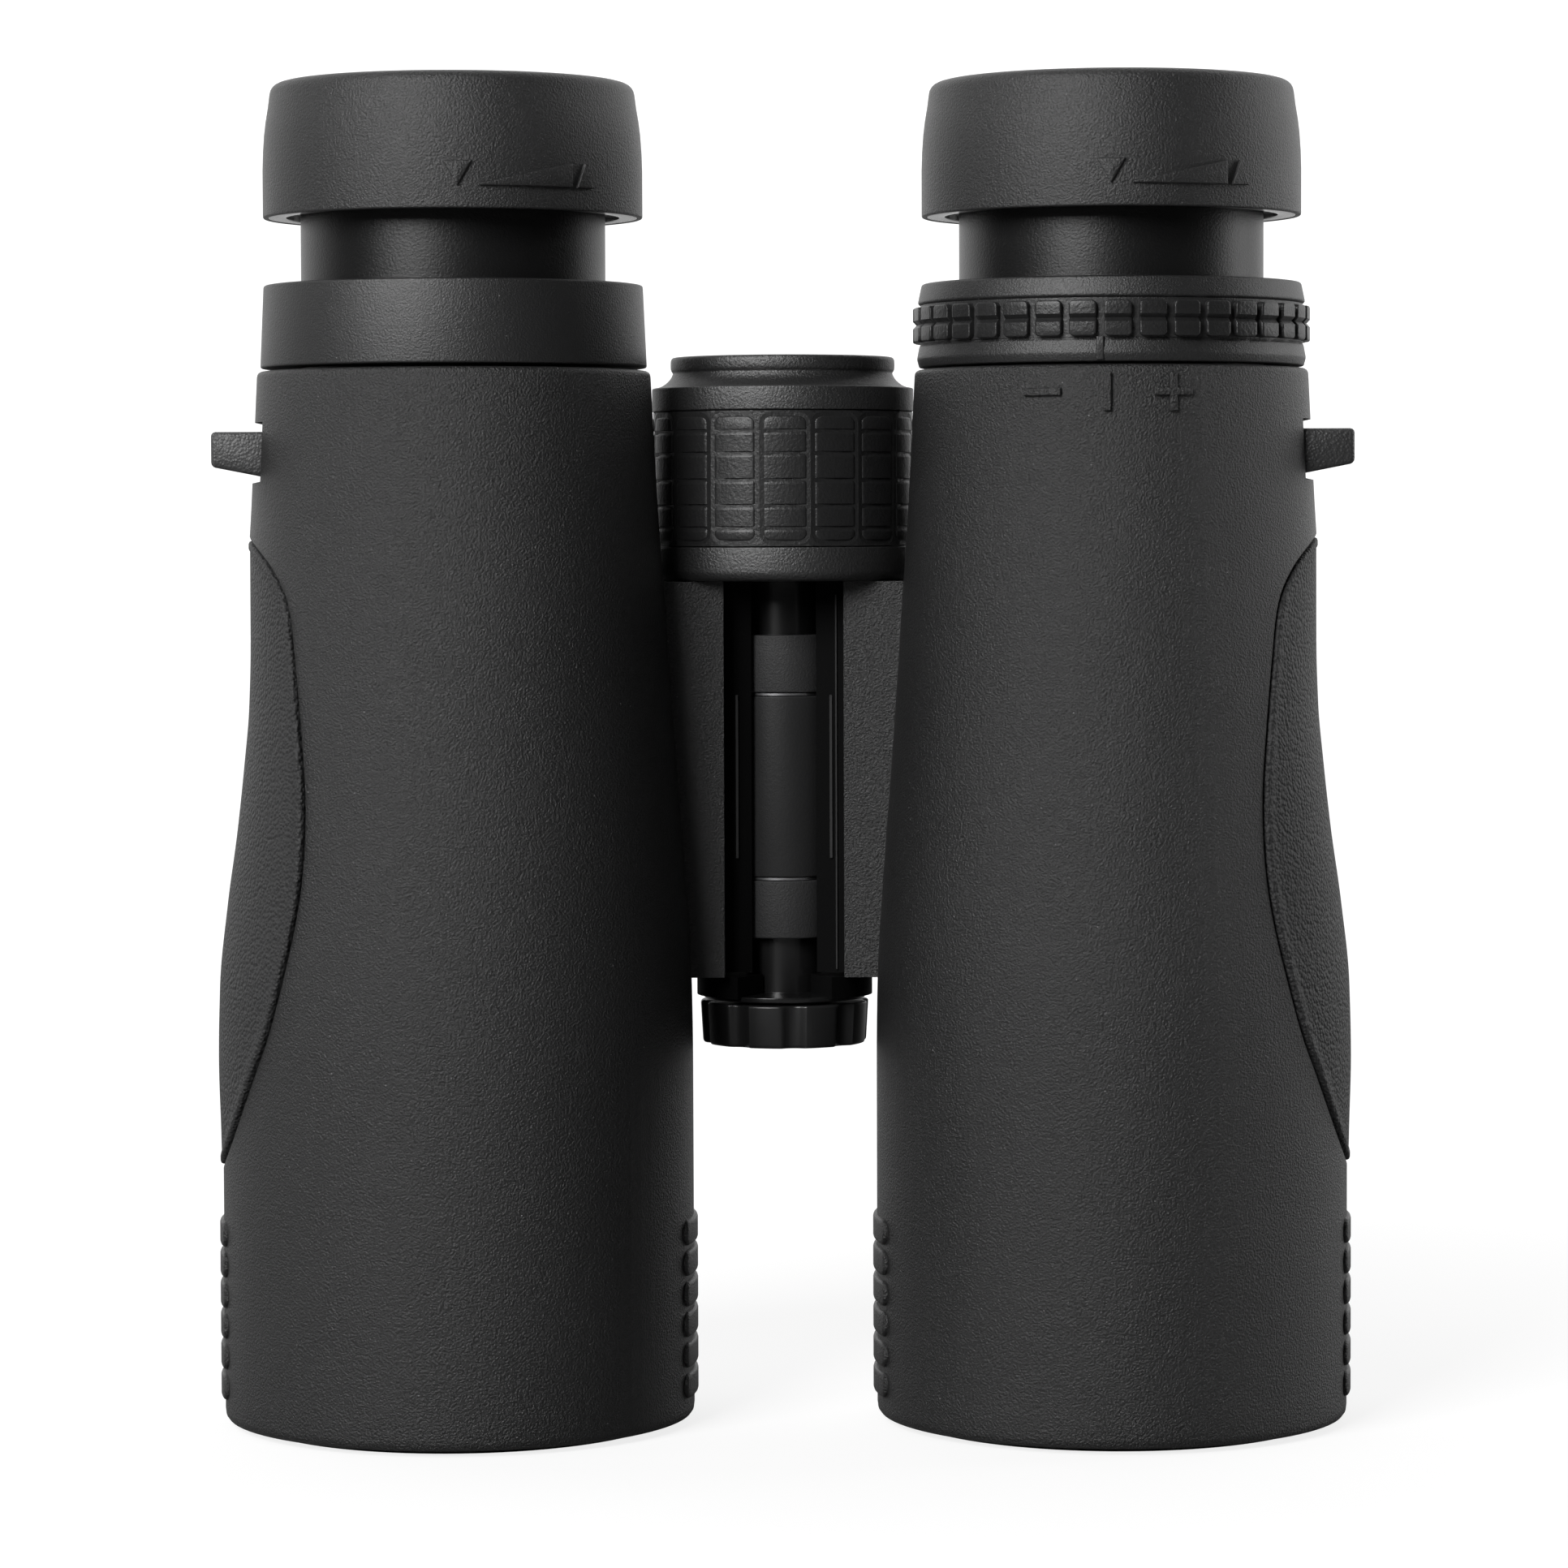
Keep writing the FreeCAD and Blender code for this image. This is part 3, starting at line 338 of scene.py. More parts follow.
def surfaceLook(name, tone, rough, grain, bump, shine=0.5, vary=0.25, coarse=0.0, specks=0.0, metal=0.0,
                wear=0.0):
    # grain is the size of the surface texture in millimetres, bump its depth, coarse adds a pebble pattern
    look, tree, shader = newLook(name)
    place = addNode(tree, "TexCoord", {})["Object"]

    def toned(gain, more=0.0):
        return tuple(min(1, c * gain + more) for c in tone) + (1,)

    def mixed(factor, first, second):
        return addNode(tree, "Mix", {"Factor": factor, "A": first, "B": second}, data_type="RGBA")["Result"]

    fine = addNode(tree, "TexNoise", {"Vector": place, "Scale": 1.0 / (grain * mm),
                                      "Detail": texture["detail"], "Roughness": texture["roughness"]})["Fac"]
    broad = addNode(tree, "TexNoise", {"Vector": place, "Scale": texture["broad"],
                                       "Detail": texture["broadDetail"]})["Fac"]
    both = addNode(tree, "Math", {0: fine, 1: texture["share"], 2: broad}, operation="MULTIPLY_ADD")[0]
    colour = mixed(both, toned(1 - vary), toned(1 + vary))
    if wear > 0:
        edges = addNode(tree, "NewGeometry", {})["Pointiness"]
        worn = addNode(tree, "MapRange", {"Value": edges, "From Min": texture["wornFrom"],
                                          "From Max": texture["wornTo"], "To Max": wear})["Result"]
        colour = mixed(worn, colour, toned(texture["wornGain"], texture["wornAdd"]))
    if specks > 0:
        dust = addNode(tree, "TexVoronoi", {"Vector": place, "Scale": texture["dustScale"]})["Distance"]
        near = addNode(tree, "Math", {0: dust, 1: specks}, operation="LESS_THAN")[0]
        colour = mixed(near, colour, texture["dustTone"])
    dull = addNode(tree, "MapRange", {"Value": broad, "To Min": rough - texture["dull"],
                                      "To Max": rough + texture["dull"]})["Result"]
    relief = addNode(tree, "Bump", {"Height": fine, "Strength": 1.0, "Distance": bump * mm})["Normal"]
    if coarse > 0:
        values = {"Vector": place, "Scale": 1.0 / (coarse * mm), "Smoothness": texture["smooth"]}
        pebble = addNode(tree, "TexVoronoi", values, feature="SMOOTH_F1")["Distance"]
        values = {"Height": pebble, "Normal": relief, "Strength": 1.0,
                  "Distance": bump * texture["pebbleDepth"] * mm}
        relief = addNode(tree, "Bump", values, invert=True)["Normal"]
    feed(tree, shader, {"Base Color": colour, "Roughness": dull, "Normal": relief, "Metallic": metal,
                        "Specular IOR Level": shine})
    return look


def grey(level):
    return (level, level, level * 1.02)


looks = {
    "armor": surfaceLook("armorRubber", grey(0.0080), 0.45, 0.26, 0.240, shine=0.70, specks=0.035),
    "grip": surfaceLook("gripRubber", grey(0.021), 0.58, 0.20, 0.090, shine=0.42, coarse=0.42, specks=0.02),
    "cup": surfaceLook("eyecupRubber", grey(0.0120), 0.44, 0.26, 0.150, shine=0.64, specks=0.025),
    "neck": surfaceLook("neckSatin", grey(0.006), 0.38, 0.26, 0.045, shine=0.34),
    "collar": surfaceLook("collarGrain", grey(0.011), 0.45, 0.22, 0.080, shine=0.66, specks=0.03),
    "wheel": surfaceLook("wheelPaint", grey(0.010), 0.46, 0.28, 0.110, shine=1.0, specks=0.02, wear=0.25),
    "wheelRubber": surfaceLook("wheelRubber", grey(0.012), 0.40, 0.40, 0.070, shine=0.46, specks=0.015,
                               wear=0.15),
    "casting": surfaceLook("castingPaint", grey(0.024), 0.55, 0.22, 0.080, shine=0.34, wear=0.2),
    # near-black painted shade: stands in for the shadow in the hinge recess, on the saddle and in the wheel's
    # band gap
    "plate": surfaceLook("platePaint", grey(0.004), 0.65, 0.22, 0.040, shine=0.02),
    "smoothCasting": surfaceLook("knucklePaint", grey(0.017), 0.50, 0.30, 0.030, shine=0.22, wear=0.15),
    "gloss": surfaceLook("shaftGloss", grey(0.007), 0.26, 0.60, 0.008, shine=0.55, wear=0.1),
    "cap": surfaceLook("capGloss", grey(0.011), 0.34, 0.80, 0.010, shine=0.46, wear=0.15),
    "lug": surfaceLook("lugTexture", grey(0.018), 0.45, 0.22, 0.030, shine=0.50, coarse=0.30, wear=0.4),
    "anodised": surfaceLook("blackAnodised", grey(0.012), 0.45, 0.25, 0.010, shine=0.40, wear=0.2),
    "flock": surfaceLook("insideBlack", grey(0.004), 0.80, 0.25, 0.050, shine=0.15),
    "sleeve": surfaceLook("sleevePlastic", grey(0.012), 0.16, 0.60, 0.006, shine=0.60),
    "steel": surfaceLook("springSteel", (0.45, 0.45, 0.46), 0.32, 0.20, 0.003, vary=0.1, metal=1.0),
    "brass": surfaceLook("turnedBrass", (0.55, 0.40, 0.17), 0.30, 0.20, 0.003, vary=0.12, metal=1.0),
}


glass = {"index": 1.52, "coat": 0.3, "filmIndex": 1.38, "haze": 120.0, "dull": 0.03}


def glassLook(name, tint, film):
    # film is the thickness of the coating in nanometres
    look, tree, shader = newLook(name)
    place = addNode(tree, "TexCoord", {})["Object"]
    haze = addNode(tree, "TexNoise", {"Vector": place, "Scale": glass["haze"]})["Fac"]
    dull = addNode(tree, "MapRange", {"Value": haze, "To Min": 0.0, "To Max": glass["dull"]})["Result"]
    feed(tree, shader, {"Base Color": tint, "Transmission Weight": 1.0, "IOR": glass["index"],
                        "Coat Weight": glass["coat"], "Thin Film Thickness": film,
                        "Thin Film IOR": glass["filmIndex"], "Roughness": dull})
    return look


looks["objectiveGlass"] = glassLook("objectiveGlass", (0.80, 0.95, 0.86, 1), 480.0)
looks["eyeGlass"] = glassLook("eyeGlass", (0.86, 0.90, 0.98, 1), 360.0)


barrel = {
    "profile": [(0, 26.6), (41, 26.6), (49, 26.5), (62, 25.75), (78, 24.55), (94, 23.5), (102, 22.95),
                (118.6, 22.1)],
    "top": 118.6, "rimTrim": 1.8, "rimSide": (20, 5, 0), "topTrim": 0.7, "topSide": 19, "step": 3.75,
    "windowLow": 24.0, "windowHigh": 103.5, "windowHalf": 63.75, "outside": 22, "notchLow": 106.3,
    "notchHigh": 112.7, "notchHalf": 8.1, "notchDepth": 0.9, "notchAt": 109.5, "notchEase": 0.5,
    "lowLevels": [4, 8, 12, 16, 20], "rows": 30, "near": 0.2, "notchLevels": [108, 109.5, 111],
    "lastLevel": 115,
    "lining": [(18.3, 118.6), (18.3, 117.4), (20.0, 117.4), (24.4, 46), (24.4, 10.5), (24.0, 9.2),
               (23.8, 9.0)],
    "hoodEdge": [(24, 9.0, 0), (23.0, 9.0, 0.2), (23.0, 0, 0.5), (26, 0, 0)], "groove": 0.22,
    "grooveEdge": [(0, -0.9), (0, -0.22), (0.07, -0.06), (0.22, 0.0), (0.9, 0.0)],
    "patchSteps": (0.2, 0.45, 0.7, 1.0), "patchPoints": 720,
}
# the outline of the grip on the unrolled surface: distance from the outward line, height
grip = {
    "outline": [(0, 99.8), (6.2, 99.2), (11.6, 97.4), (15.2, 95), (17.5, 91.8), (19.2, 86), (21.0, 78.5),
                (22.6, 71), (23.2, 64), (22.7, 57.5), (21.2, 51), (18.9, 45), (16, 40.3), (12.8, 36),
                (9.2, 32.4), (5, 30), (0, 29)],
    "outer": [(28, 26.9), (33, 27.0), (41, 27.2), (49.5, 27.0), (59, 26.0), (67, 24.85), (75, 23.95),
              (81, 23.4), (88, 23.2), (100, 23.2)],
    "proud": 0.35, "reach": 23.5, "edge": 0.3, "gap": 0.12, "border": 0.75, "sunk": 0.16, "middle": 64.0,
    "half": 36.0, "wide": 26.0, "bury": 1.1, "slope": 0.15, "inset": 1.2, "points": 200, "rings": 14,
    "spine": 0.72,
}


def barrelRadius(height):
    return along(barrel["profile"], height)


def closedCurve(keys, count):
    # even points on a smooth closed curve through keys
    dense = []
    total = len(keys)
    for i in range(total):
        p0, p1, p2, p3 = (Vector(keys[(i + k) % total]) for k in (-1, 0, 1, 2))
        for k in range(12):
            t = k / 12
            dense.append(0.5 * (2 * p1 + (p2 - p0) * t + (2 * p0 - 5 * p1 + 4 * p2 - p3) * t ** 2
                                + (3 * p1 - p0 - 3 * p2 + p3) * t ** 3))
    lengths = [0.0]
    for i in range(len(dense)):
        lengths.append(lengths[-1] + (dense[(i + 1) % len(dense)] - dense[i]).length)
    points, j = [], 0
    for k in range(count):
        want = lengths[-1] * k / count
        while lengths[j + 1] < want:
            j += 1
        t = (want - lengths[j]) / max(1e-9, lengths[j + 1] - lengths[j])
        points.append(dense[j].lerp(dense[(j + 1) % len(dense)], t))
    return points


def outwardNormals(points):
    result = []
    count = len(points)
    for i in range(count):
        run = points[(i + 1) % count] - points[i - 1]
        result.append(Vector((-run.y, run.x)).normalized())
    return result


def gripOutline(count):
    half = grip["outline"]
    keys = half + [(-s, z) for s, z in half[-2:0:-1]]
    points = closedCurve(keys, count)
    normals = outwardNormals(points)
    centre = Vector((0, grip["middle"]))
    if (points[0] - centre).dot(normals[0]) < 0:
        normals = [-n for n in normals]
    return points, normals


def skinGrid(shape, side):
    # the skin as rings of points about the barrel, left open where the grip is let in
    top, last, near = barrel["top"], barrel["lastLevel"], barrel["near"]
    low, high, rows = barrel["windowLow"], barrel["windowHigh"], barrel["rows"]
    levels = barrel["lowLevels"] + [low] + [low + (high - low) * k / rows for k in range(1, rows + 1)]
    levels += [barrel["notchLow"] - near, barrel["notchLow"]] + barrel["notchLevels"]
    levels += [barrel["notchHigh"], barrel["notchHigh"] + near, last]
    loop = softened([(barrelRadius(0), 0, barrel["rimTrim"]), (barrelRadius(levels[0]), levels[0], 0),
                     barrel["rimSide"]])[:-2]
    loop += [(barrelRadius(z), z) for z in levels]
    loop += softened([(barrelRadius(last), last, 0), (barrelRadius(top), top, barrel["topTrim"]),
                      (barrel["topSide"], top, 0)])[1:-1]
    loop += barrel["lining"] + softened(barrel["hoodEdge"])[1:-1]
    step, ease = barrel["step"], barrel["notchEase"]
    columns = [k * step for k in range(int(360 / step))]
    half = math.degrees(math.asin(barrel["notchHalf"] / barrelRadius(barrel["notchAt"])))
    columns = sorted(columns + [half, half + ease, 360 - half, 360 - ease - half])
    slack = 0.01
    notch = (barrel["notchLow"] - slack, barrel["notchHigh"] + slack)
    verts = []
    for radius, z in loop:
        for column in columns:
            wide = min(column, 360 - column)
            cut = notch[0] < z < notch[1] and wide <= half + slack and radius > barrel["outside"]
            verts.append(onRound(axes[side], radius - (barrel["notchDepth"] if cut else 0.0),
                                 outward[side] + column, z))
    window = barrel["windowHalf"] + slack

    def solid(i, j, k, n):
        inside = low - slack < loop[i][1] < loop[j][1] < high + slack
        return not inside or max(min(c, 360 - c) for c in (columns[k], columns[n])) >= window

    rows = [(i, (i + 1) % len(loop)) for i in range(len(loop))]
    addTo(shape, verts, ringFaces(rows, len(columns), solid))
    spread = sorted(c for c in (c if c <= 180 else c - 360 for c in columns) if abs(c) < window)
    heights = sorted({z for r, z in loop if low - slack < z < high + slack and r > barrel["outside"]})
    border = [(c, high) for c in spread] + [(spread[-1], z) for z in heights[-2:0:-1]]
    border += [(c, low) for c in spread[::-1]] + [(spread[0], z) for z in heights[1:-1]]
    return border


def skinPatch(shape, side, border):
    # joins the open window to the grip outline, with a rounded edge at the groove
    points, normals = gripOutline(barrel["patchPoints"])

    def direction(s, z):
        return math.atan2((z - grip["middle"]) / grip["half"], s / grip["wide"])

    def place(angle, radius, z):
        return onRound(axes[side], radius, outward[side] + angle, z)

    ordered = sorted(((direction(p.x, p.y), p, n) for p, n in zip(points, normals)), key=lambda row: row[0])
    matched = []
    for column, z in border:
        goal = direction(math.radians(column) * barrelRadius(z), z)
        best = min(ordered, key=lambda row: abs(math.remainder(row[0] - goal, math.tau)))
        matched.append((best[1], best[2]))
    verts = []
    for away, lift in barrel["grooveEdge"]:
        for point, normal in matched:
            p = point + normal * (barrel["groove"] + away)
            radius = barrelRadius(p.y)
            verts.append(place(math.degrees(p.x / radius), radius + lift, p.y))
    last = barrel["groove"] + barrel["grooveEdge"][-1][0]
    for t in barrel["patchSteps"]:
        for (column, z), (point, normal) in zip(border, matched):
            p = point + normal * last
            height = p.y + (z - p.y) * t
            angle = math.degrees(p.x / barrelRadius(p.y)) * (1 - t) + column * t
            verts.append(place(angle, barrelRadius(height), height))
    rows = openRows(len(barrel["grooveEdge"]) + len(barrel["patchSteps"]))
    addTo(shape, verts, ringFaces(rows, len(border)))


def gripRadius(s, z, reach):
    # the pad is flattest along the outward line and meets the skin at its edge
    edge = barrelRadius(z) + grip["proud"]
    hollow = edge - along(grip["outer"], z)
    return edge - hollow * math.cos(math.pi / 2 * min(1.0, abs(s) / reach)) ** 2


def gripPad(side):
    shape = newShape()
    points, normals = gripOutline(grip["points"])
    edge, gap, border, sunk = grip["edge"], grip["gap"], grip["border"], grip["sunk"]
    rings = [(gap, -grip["bury"]), (gap, -edge), (gap + 0.3 * edge, -0.3 * edge), (gap + edge, 0),
             (gap + border, 0), (gap + border + grip["slope"], -sunk), (gap + border + grip["inset"], -sunk)]
    verts = []

    def place(p, lift):
        radius = gripRadius(p.x, p.y, grip["reach"]) + lift
        return onRound(axes[side], radius, outward[side] + math.degrees(p.x / barrelRadius(p.y)), p.y)

    for inset, lift in rings:
        verts += [place(p - n * inset, lift) for p, n in zip(points, normals)]
    inner = grip["rings"]
    for k in range(1, inner + 1):
        for p, n in zip(points, normals):
            q = p - n * rings[-1][0]
            spine = Vector((0, grip["middle"] + (q.y - grip["middle"]) * grip["spine"]))
            verts.append(place(q.lerp(spine, k / inner), -sunk))
    addTo(shape, verts, ringFaces(openRows(len(rings) + inner), len(points)))
    piece = makePiece(side + "Grip", shape, looks["grip"], 50)
    finish(piece, side + "_barrel", "grip_rubber", side + "_grip_pad")


wing = {
    "outline": [(22.0, 0.6), (14.0, 1.2), (6.8, 1.6), (6.8, 18.9), (22.0, 20.6)], "low": 49.9,
    "high": 94.85, "bevel": 0.4,
}


def wingSkin(shape, side):
    # the skin over the hinge web, in two covers so that the web shows between them
    outline = [(math.copysign(x, axes[side][0]), y) for x, y in wing["outline"]]
    prism(shape, outline if side == "right" else outline[::-1], wing["low"], wing["high"], wing["bevel"], 3)


ribs = {
    "count": 6, "low": 3.1, "pitch": 3.46, "high": 2.85, "half": 7.4, "lift": 0.45, "edge": 0.4,
    "corner": 1.3,
}


def sideRibs(side):
    # raised bars low on both flanks of the barrel
    parts = []
    radius = barrelRadius(0)
    for theta in (90, -90):
        shape = newShape()
        pad = roundedPad(ribs["half"], ribs["low"], ribs["low"] + ribs["high"], ribs["corner"], ribs["lift"],
                         ribs["edge"], columns=14)
        padOnRound(shape, pad, (0, 0), theta, lambda z: radius)
        part = makePiece(side + "Rib", shape, looks["armor"])
        parts.append(repeated(part, axes[side], ribs["count"], 0.0, ribs["pitch"]))
    return parts


marks = {
    "at": -4.6, "height": 115.6, "long": 4.3, "thin": 0.87, "turn": 18.5, "lift": 0.46, "edge": 0.16,
    "corner": 0.1,
}


def diopterMarks():
    # minus, index line and plus on the skin below the diopter ring
    shape = newShape()
    half, thin, mid = marks["long"] / 2, marks["thin"] / 2, marks["height"]
    for side, across, up in ((-1, half, thin), (0, thin, half), (1, half, thin), (1, thin, half)):
        pad = roundedPad(across, mid - up, mid + up, marks["corner"], marks["lift"], marks["edge"],
                         rows=(mid,), columns=5)
        padOnRound(shape, pad, rightAxis, marks["at"] + side * marks["turn"], barrelRadius)
    return makePiece("diopterMarks", shape, looks["armor"])


def barrelSkin(side):
    shape = newShape()
    border = skinGrid(shape, side)
    skinPatch(shape, side, border)
    skin = makePiece(side + "Skin", shape, looks["armor"])
    cover = newShape()
    wingSkin(cover, side)
    parts = [skin, makePiece(side + "Wing", cover, looks["armor"])] + sideRibs(side)
    if side == "right":
        parts.append(diopterMarks())
    whole = joinPieces(side + "Armor", parts)
    finish(whole, side + "_barrel", "armor_rubber", side + "_armor")


for side in ("left", "right"):
    barrelSkin(side)
    gripPad(side)
print("skins and grips done")


tube = {
    "outline": [(23.8, 9.1, 0), (24.3, 9.1, 0), (24.3, 46, 0), (19.9, 117, 0), (18.3, 117, 0),
                (18.3, 112, 0), (19.4, 112, 0), (19.4, 84.5, 0), (20.8, 84.5, 0), (20.8, 60, 0),
                (21.4, 60, 0), (21.4, 27, 0), (22.4, 27, 0), (22.4, 9.4, 0), (23.8, 9.4, 0)],
}
web = {
    "low": 50.2, "high": 94.8, "root": 18.0, "step": 6.2, "edge": 3.7, "front": 4.6, "slant": 0.8,
    "back": 17.4, "room": 6.45, "roomAside": 0.2, "roomFront": 0.4, "roomSteps": 14, "bevel": 0.18,
}
lip = {
    "at": 5.35, "half": 0.14, "front": 4.6, "back": 5.4, "low": 63.3, "high": 81.9, "bevel": 0.05,
}
seam = {
    "at": 5.95, "half": 0.08, "front": 4.4, "back": 5.2, "low": 50.6, "high": 93.3, "bevel": 0.03,
}
knuckles = {
    "radius": 5.8, "bore": 4.3, "trim": 0.22, "left": [(54.0, 60.62), (82.13, 88.7)],
    "right": [(61.02, 81.73)],
}
bridge = {"at": 6.7, "half": 2.3, "front": 8.2, "back": 13.8, "bevel": 0.1}      # joins a knuckle to its web


def bar(shape, sign, size, low, high, steps):
    # an upright bar at one side of the hinge
    x = sign * size["at"]
    across = (x - size["half"], x + size["half"])
    outline = [(across[0], size["front"]), (across[1], size["front"]), (across[1], size["back"]),
               (across[0], size["back"])]
    prism(shape, outline, low, high, size["bevel"], steps)


def casting(side):
    sign = math.copysign(1, axes[side][0])
    body, node = side + "_barrel", side + "_tube"
    front, back, back2, middle = web["front"], web["back"], web["back"] - web["slant"], hingeAxis[1]
    outline = [(web["root"], front), (web["step"], front), (web["edge"], front + web["slant"])]
    start = math.atan2(front + web["slant"] + web["roomFront"] - middle, web["edge"] + web["roomAside"])
    for k in range(web["roomSteps"] + 1):
        turn = start - 2 * start * k / web["roomSteps"]
        outline.append((web["room"] * math.cos(turn), middle + web["room"] * math.sin(turn)))
    outline += [(web["edge"], back2), (web["step"], back), (web["root"], back)]
    plate, lips, rounds = newShape(), newShape(), newShape()
    prism(plate, [(sign * x, y) for x, y in outline], web["low"], web["high"], web["bevel"], 2)
    bar(lips, sign, lip, lip["low"], lip["high"], 2)
    if side == "right":
        bar(lips, sign, seam, seam["low"], seam["high"], 2)
    bore, radius, trim = knuckles["bore"], knuckles["radius"], knuckles["trim"]
    for low, high in knuckles[side]:
        outline = [(bore, low, 0), (radius, low, trim), (radius, high, trim), (bore, high, 0)]
        lathe(rounds, hingeAxis, outline, 72)
        bar(rounds, sign, bridge, low, high, 1)
    turned(side + "Tube", axes[side], tube, "flock", body, "casting_paint", node)
    look = looks["casting"] if side == "left" else looks["smoothCasting"]
    # the web gets the near-black painted shade of its recess
    for name, shape, paint in (("Web", plate, looks["plate"]), ("Lips", lips, looks["smoothCasting"]),
                               ("Knuckles", rounds, look)):
        finish(makePiece(side + name, shape, paint), body, "casting_paint", node)


lug = {
    "inside": 55.5, "reach": 63.7, "root": 58.6, "half": 7.5, "low": 107.9, "high": 111.8, "bar": 1.8,
    "slot": 2.7, "slotHalf": 5.5, "slope": 1.0, "bevel": 0.5,
}


def strapLug(side):
    # loop with a slot; the underside slopes down towards the barrel
    sign = math.copysign(1, axes[side][0])
    x0, x3 = lug["inside"], lug["reach"]
    x2 = x3 - lug["bar"]
    x1 = x2 - lug["slot"]
    shape = newShape()
    bm = bmesh.new()
    loops = []
    for high in (False, True):
        for near, far, half in ((x0, x3, lug["half"]), (x1, x2, lug["slotHalf"])):
            loop = []
            for x, y in ((near, -half), (far, -half), (far, half), (near, half)):
                slope = lug["slope"] * (x3 - x) / (x3 - lug["root"])
                loop.append(bm.verts.new((sign * x, y, lug["high"] if high else lug["low"] - slope)))
            loops.append(loop)
    lowOuter, lowInner, highOuter, highInner = loops
    for i in range(4):
        j = (i + 1) % 4
        bm.faces.new((lowOuter[i], lowOuter[j], highOuter[j], highOuter[i]))
        bm.faces.new((lowInner[j], lowInner[i], highInner[i], highInner[j]))
        bm.faces.new((highOuter[i], highOuter[j], highInner[j], highInner[i]))
        bm.faces.new((lowOuter[j], lowOuter[i], lowInner[i], lowInner[j]))
    bmesh.ops.recalc_face_normals(bm, faces=bm.faces)
    sharp = [e for e in bm.edges if e.calc_face_angle(0) > 0.5]
    bmesh.ops.bevel(bm, geom=sharp, offset=lug["bevel"], segments=3, profile=0.5, affect="EDGES")
    addTo(shape, [tuple(v.co) for v in bm.verts], [[v.index for v in f.verts] for f in bm.faces])
    bm.free()
    piece = makePiece(side + "StrapLug", shape, looks["lug"])
    finish(piece, side + "_barrel", "lug_paint", side + "_strap_lug")


for side in ("left", "right"):
    casting(side)
    strapLug(side)
print("castings and lugs done")


objective = {
    "radius": 20.95, "low": 11.6, "high": 21.9, "lowCurve": 75.0, "highCurve": 60.0, "segments": 96,
}
objectiveRing = {
    "outline": [(20.0, 12.0, 0.2), (20.95, 12.0, 0.15), (20.95, 14.4, 0), (20.0, 14.2, 0)],
}
objectiveCell = {
    "outline": [(21.1, 9.6, 0.25), (22.3, 9.6, 0.15), (22.3, 26.6, 0), (20.3, 26.6, 0), (20.3, 24.6, 0),
                (21.1, 24.6, 0)],
}
hood = {
    "outline": [(23.02, 1.4, 0), (23.02, 2.2, 0), (22.75, 1.8, 0.1)], "segments": 96, "steps": 2, "count": 8,
    "pitch": 0.85,
}


def lensShape(centre, lens, rings=14):
    # a lens between two spherical faces
    def sag(r, curve):
        return curve - math.sqrt(curve * curve - r * r)
    shape = newShape()
    face = [lens["radius"] * k / rings for k in range(rings + 1)]
    outline = [(r, lens["low"] + sag(r, lens["lowCurve"]), 0) for r in face]
    outline += [(r, lens["high"] - sag(r, lens["highCurve"]), 0) for r in face[::-1]]
    lathe(shape, centre, outline, lens["segments"])
    return shape


def objectiveEnd(side):
    axis = axes[side]
    body = side + "_barrel"
    crown = makePiece(side + "ObjectiveCrown", lensShape(axis, objective), looks["objectiveGlass"])
    finish(crown, body, "glass", side + "_objective_crown")
    turned(side + "ObjectiveRing", axis, objectiveRing, "anodised", body, "black_anodised",
           side + "_objective_ring")
    turned(side + "ObjectiveCell", axis, objectiveCell, "anodised", body, "black_anodised",
           side + "_objective_cell")
    baffle = newShape()
    lathe(baffle, (0, 0), hood["outline"], hood["segments"], hood["steps"])
    grooves = repeated(makePiece(side + "HoodGrooves", baffle, looks["armor"]), axis, hood["count"], 0.0,
                       hood["pitch"])
    finish(grooves, body, "armor_rubber", side + "_armor")


neck = {
    "outline": [(15.4, 112.2, 0), (18.1, 112.2, 0), (18.1, 118.3, 0), (17.1, 118.3, 0), (17.1, 141.0, 0.3),
                (15.9, 141.0, 0.3), (12.3, 138.1, 0.1), (12.3, 129.0, 0), (15.4, 129.0, 0)],
}
eyeLens = {
    "radius": 12.15, "low": 130.6, "high": 137.0, "lowCurve": 27.0, "highCurve": 27.0, "segments": 72,
}
eyeRing = {
    "outline": [(11.3, 137.0, 0), (12.25, 137.0, 0), (12.25, 138.0, 0.1), (11.7, 138.0, 0.15)],
    "segments": 72,
}
sleeve = {
    "outline": [(17.4, 136.4, 0.15), (18.4, 136.4, 0.15), (18.4, 148.2, 0.1), (17.4, 148.2, 0.2)],
}
cupShell = {
    "outline": [(18.7, 135.75, 0.1), (20.7, 135.75, 0.05), (20.7, 136.3, 0), (19.75, 136.3, 0),
                (19.75, 147.55, 0), (18.7, 147.55, 0)],
}
cup = {
    "start": {"left": 4.8, "right": -3.6}, "segments": 128, "steps": 6,
    "mark": 139.5, "markHigh": 2.7, "lift": 0.38, "edge": 0.14,
    "bury": 0.3, "downHalf": 1.55, "wedgeHalf": 5.5, "wedgeReach": 5.55, "wedgeThin": 0.25, "wedgeAt": 21.3,
    "upHalf": 1.15, "upAt": 41.0, "levels": (139, 141, 143, 145, 146.5, 148),
    "wall": [(135.7, 21.3), (141, 21.3), (144, 21.18), (146, 20.98), (148, 20.66), (150.8, 20.0)],
    "foot": [(20.75, 135.7, 0.1), (21.3, 135.7, 0.3)],
    "inside": [(20.3, 150.8, 2.3), (16.8, 150.8, 1.2), (16.8, 148.6, 0.3), (18.7, 148.6, 0),
               (18.7, 147.6, 0), (19.8, 147.6, 0), (19.8, 136.35, 0), (20.75, 136.35, 0)],
}


def cupRadius(z):
    return along(cup["wall"], z)


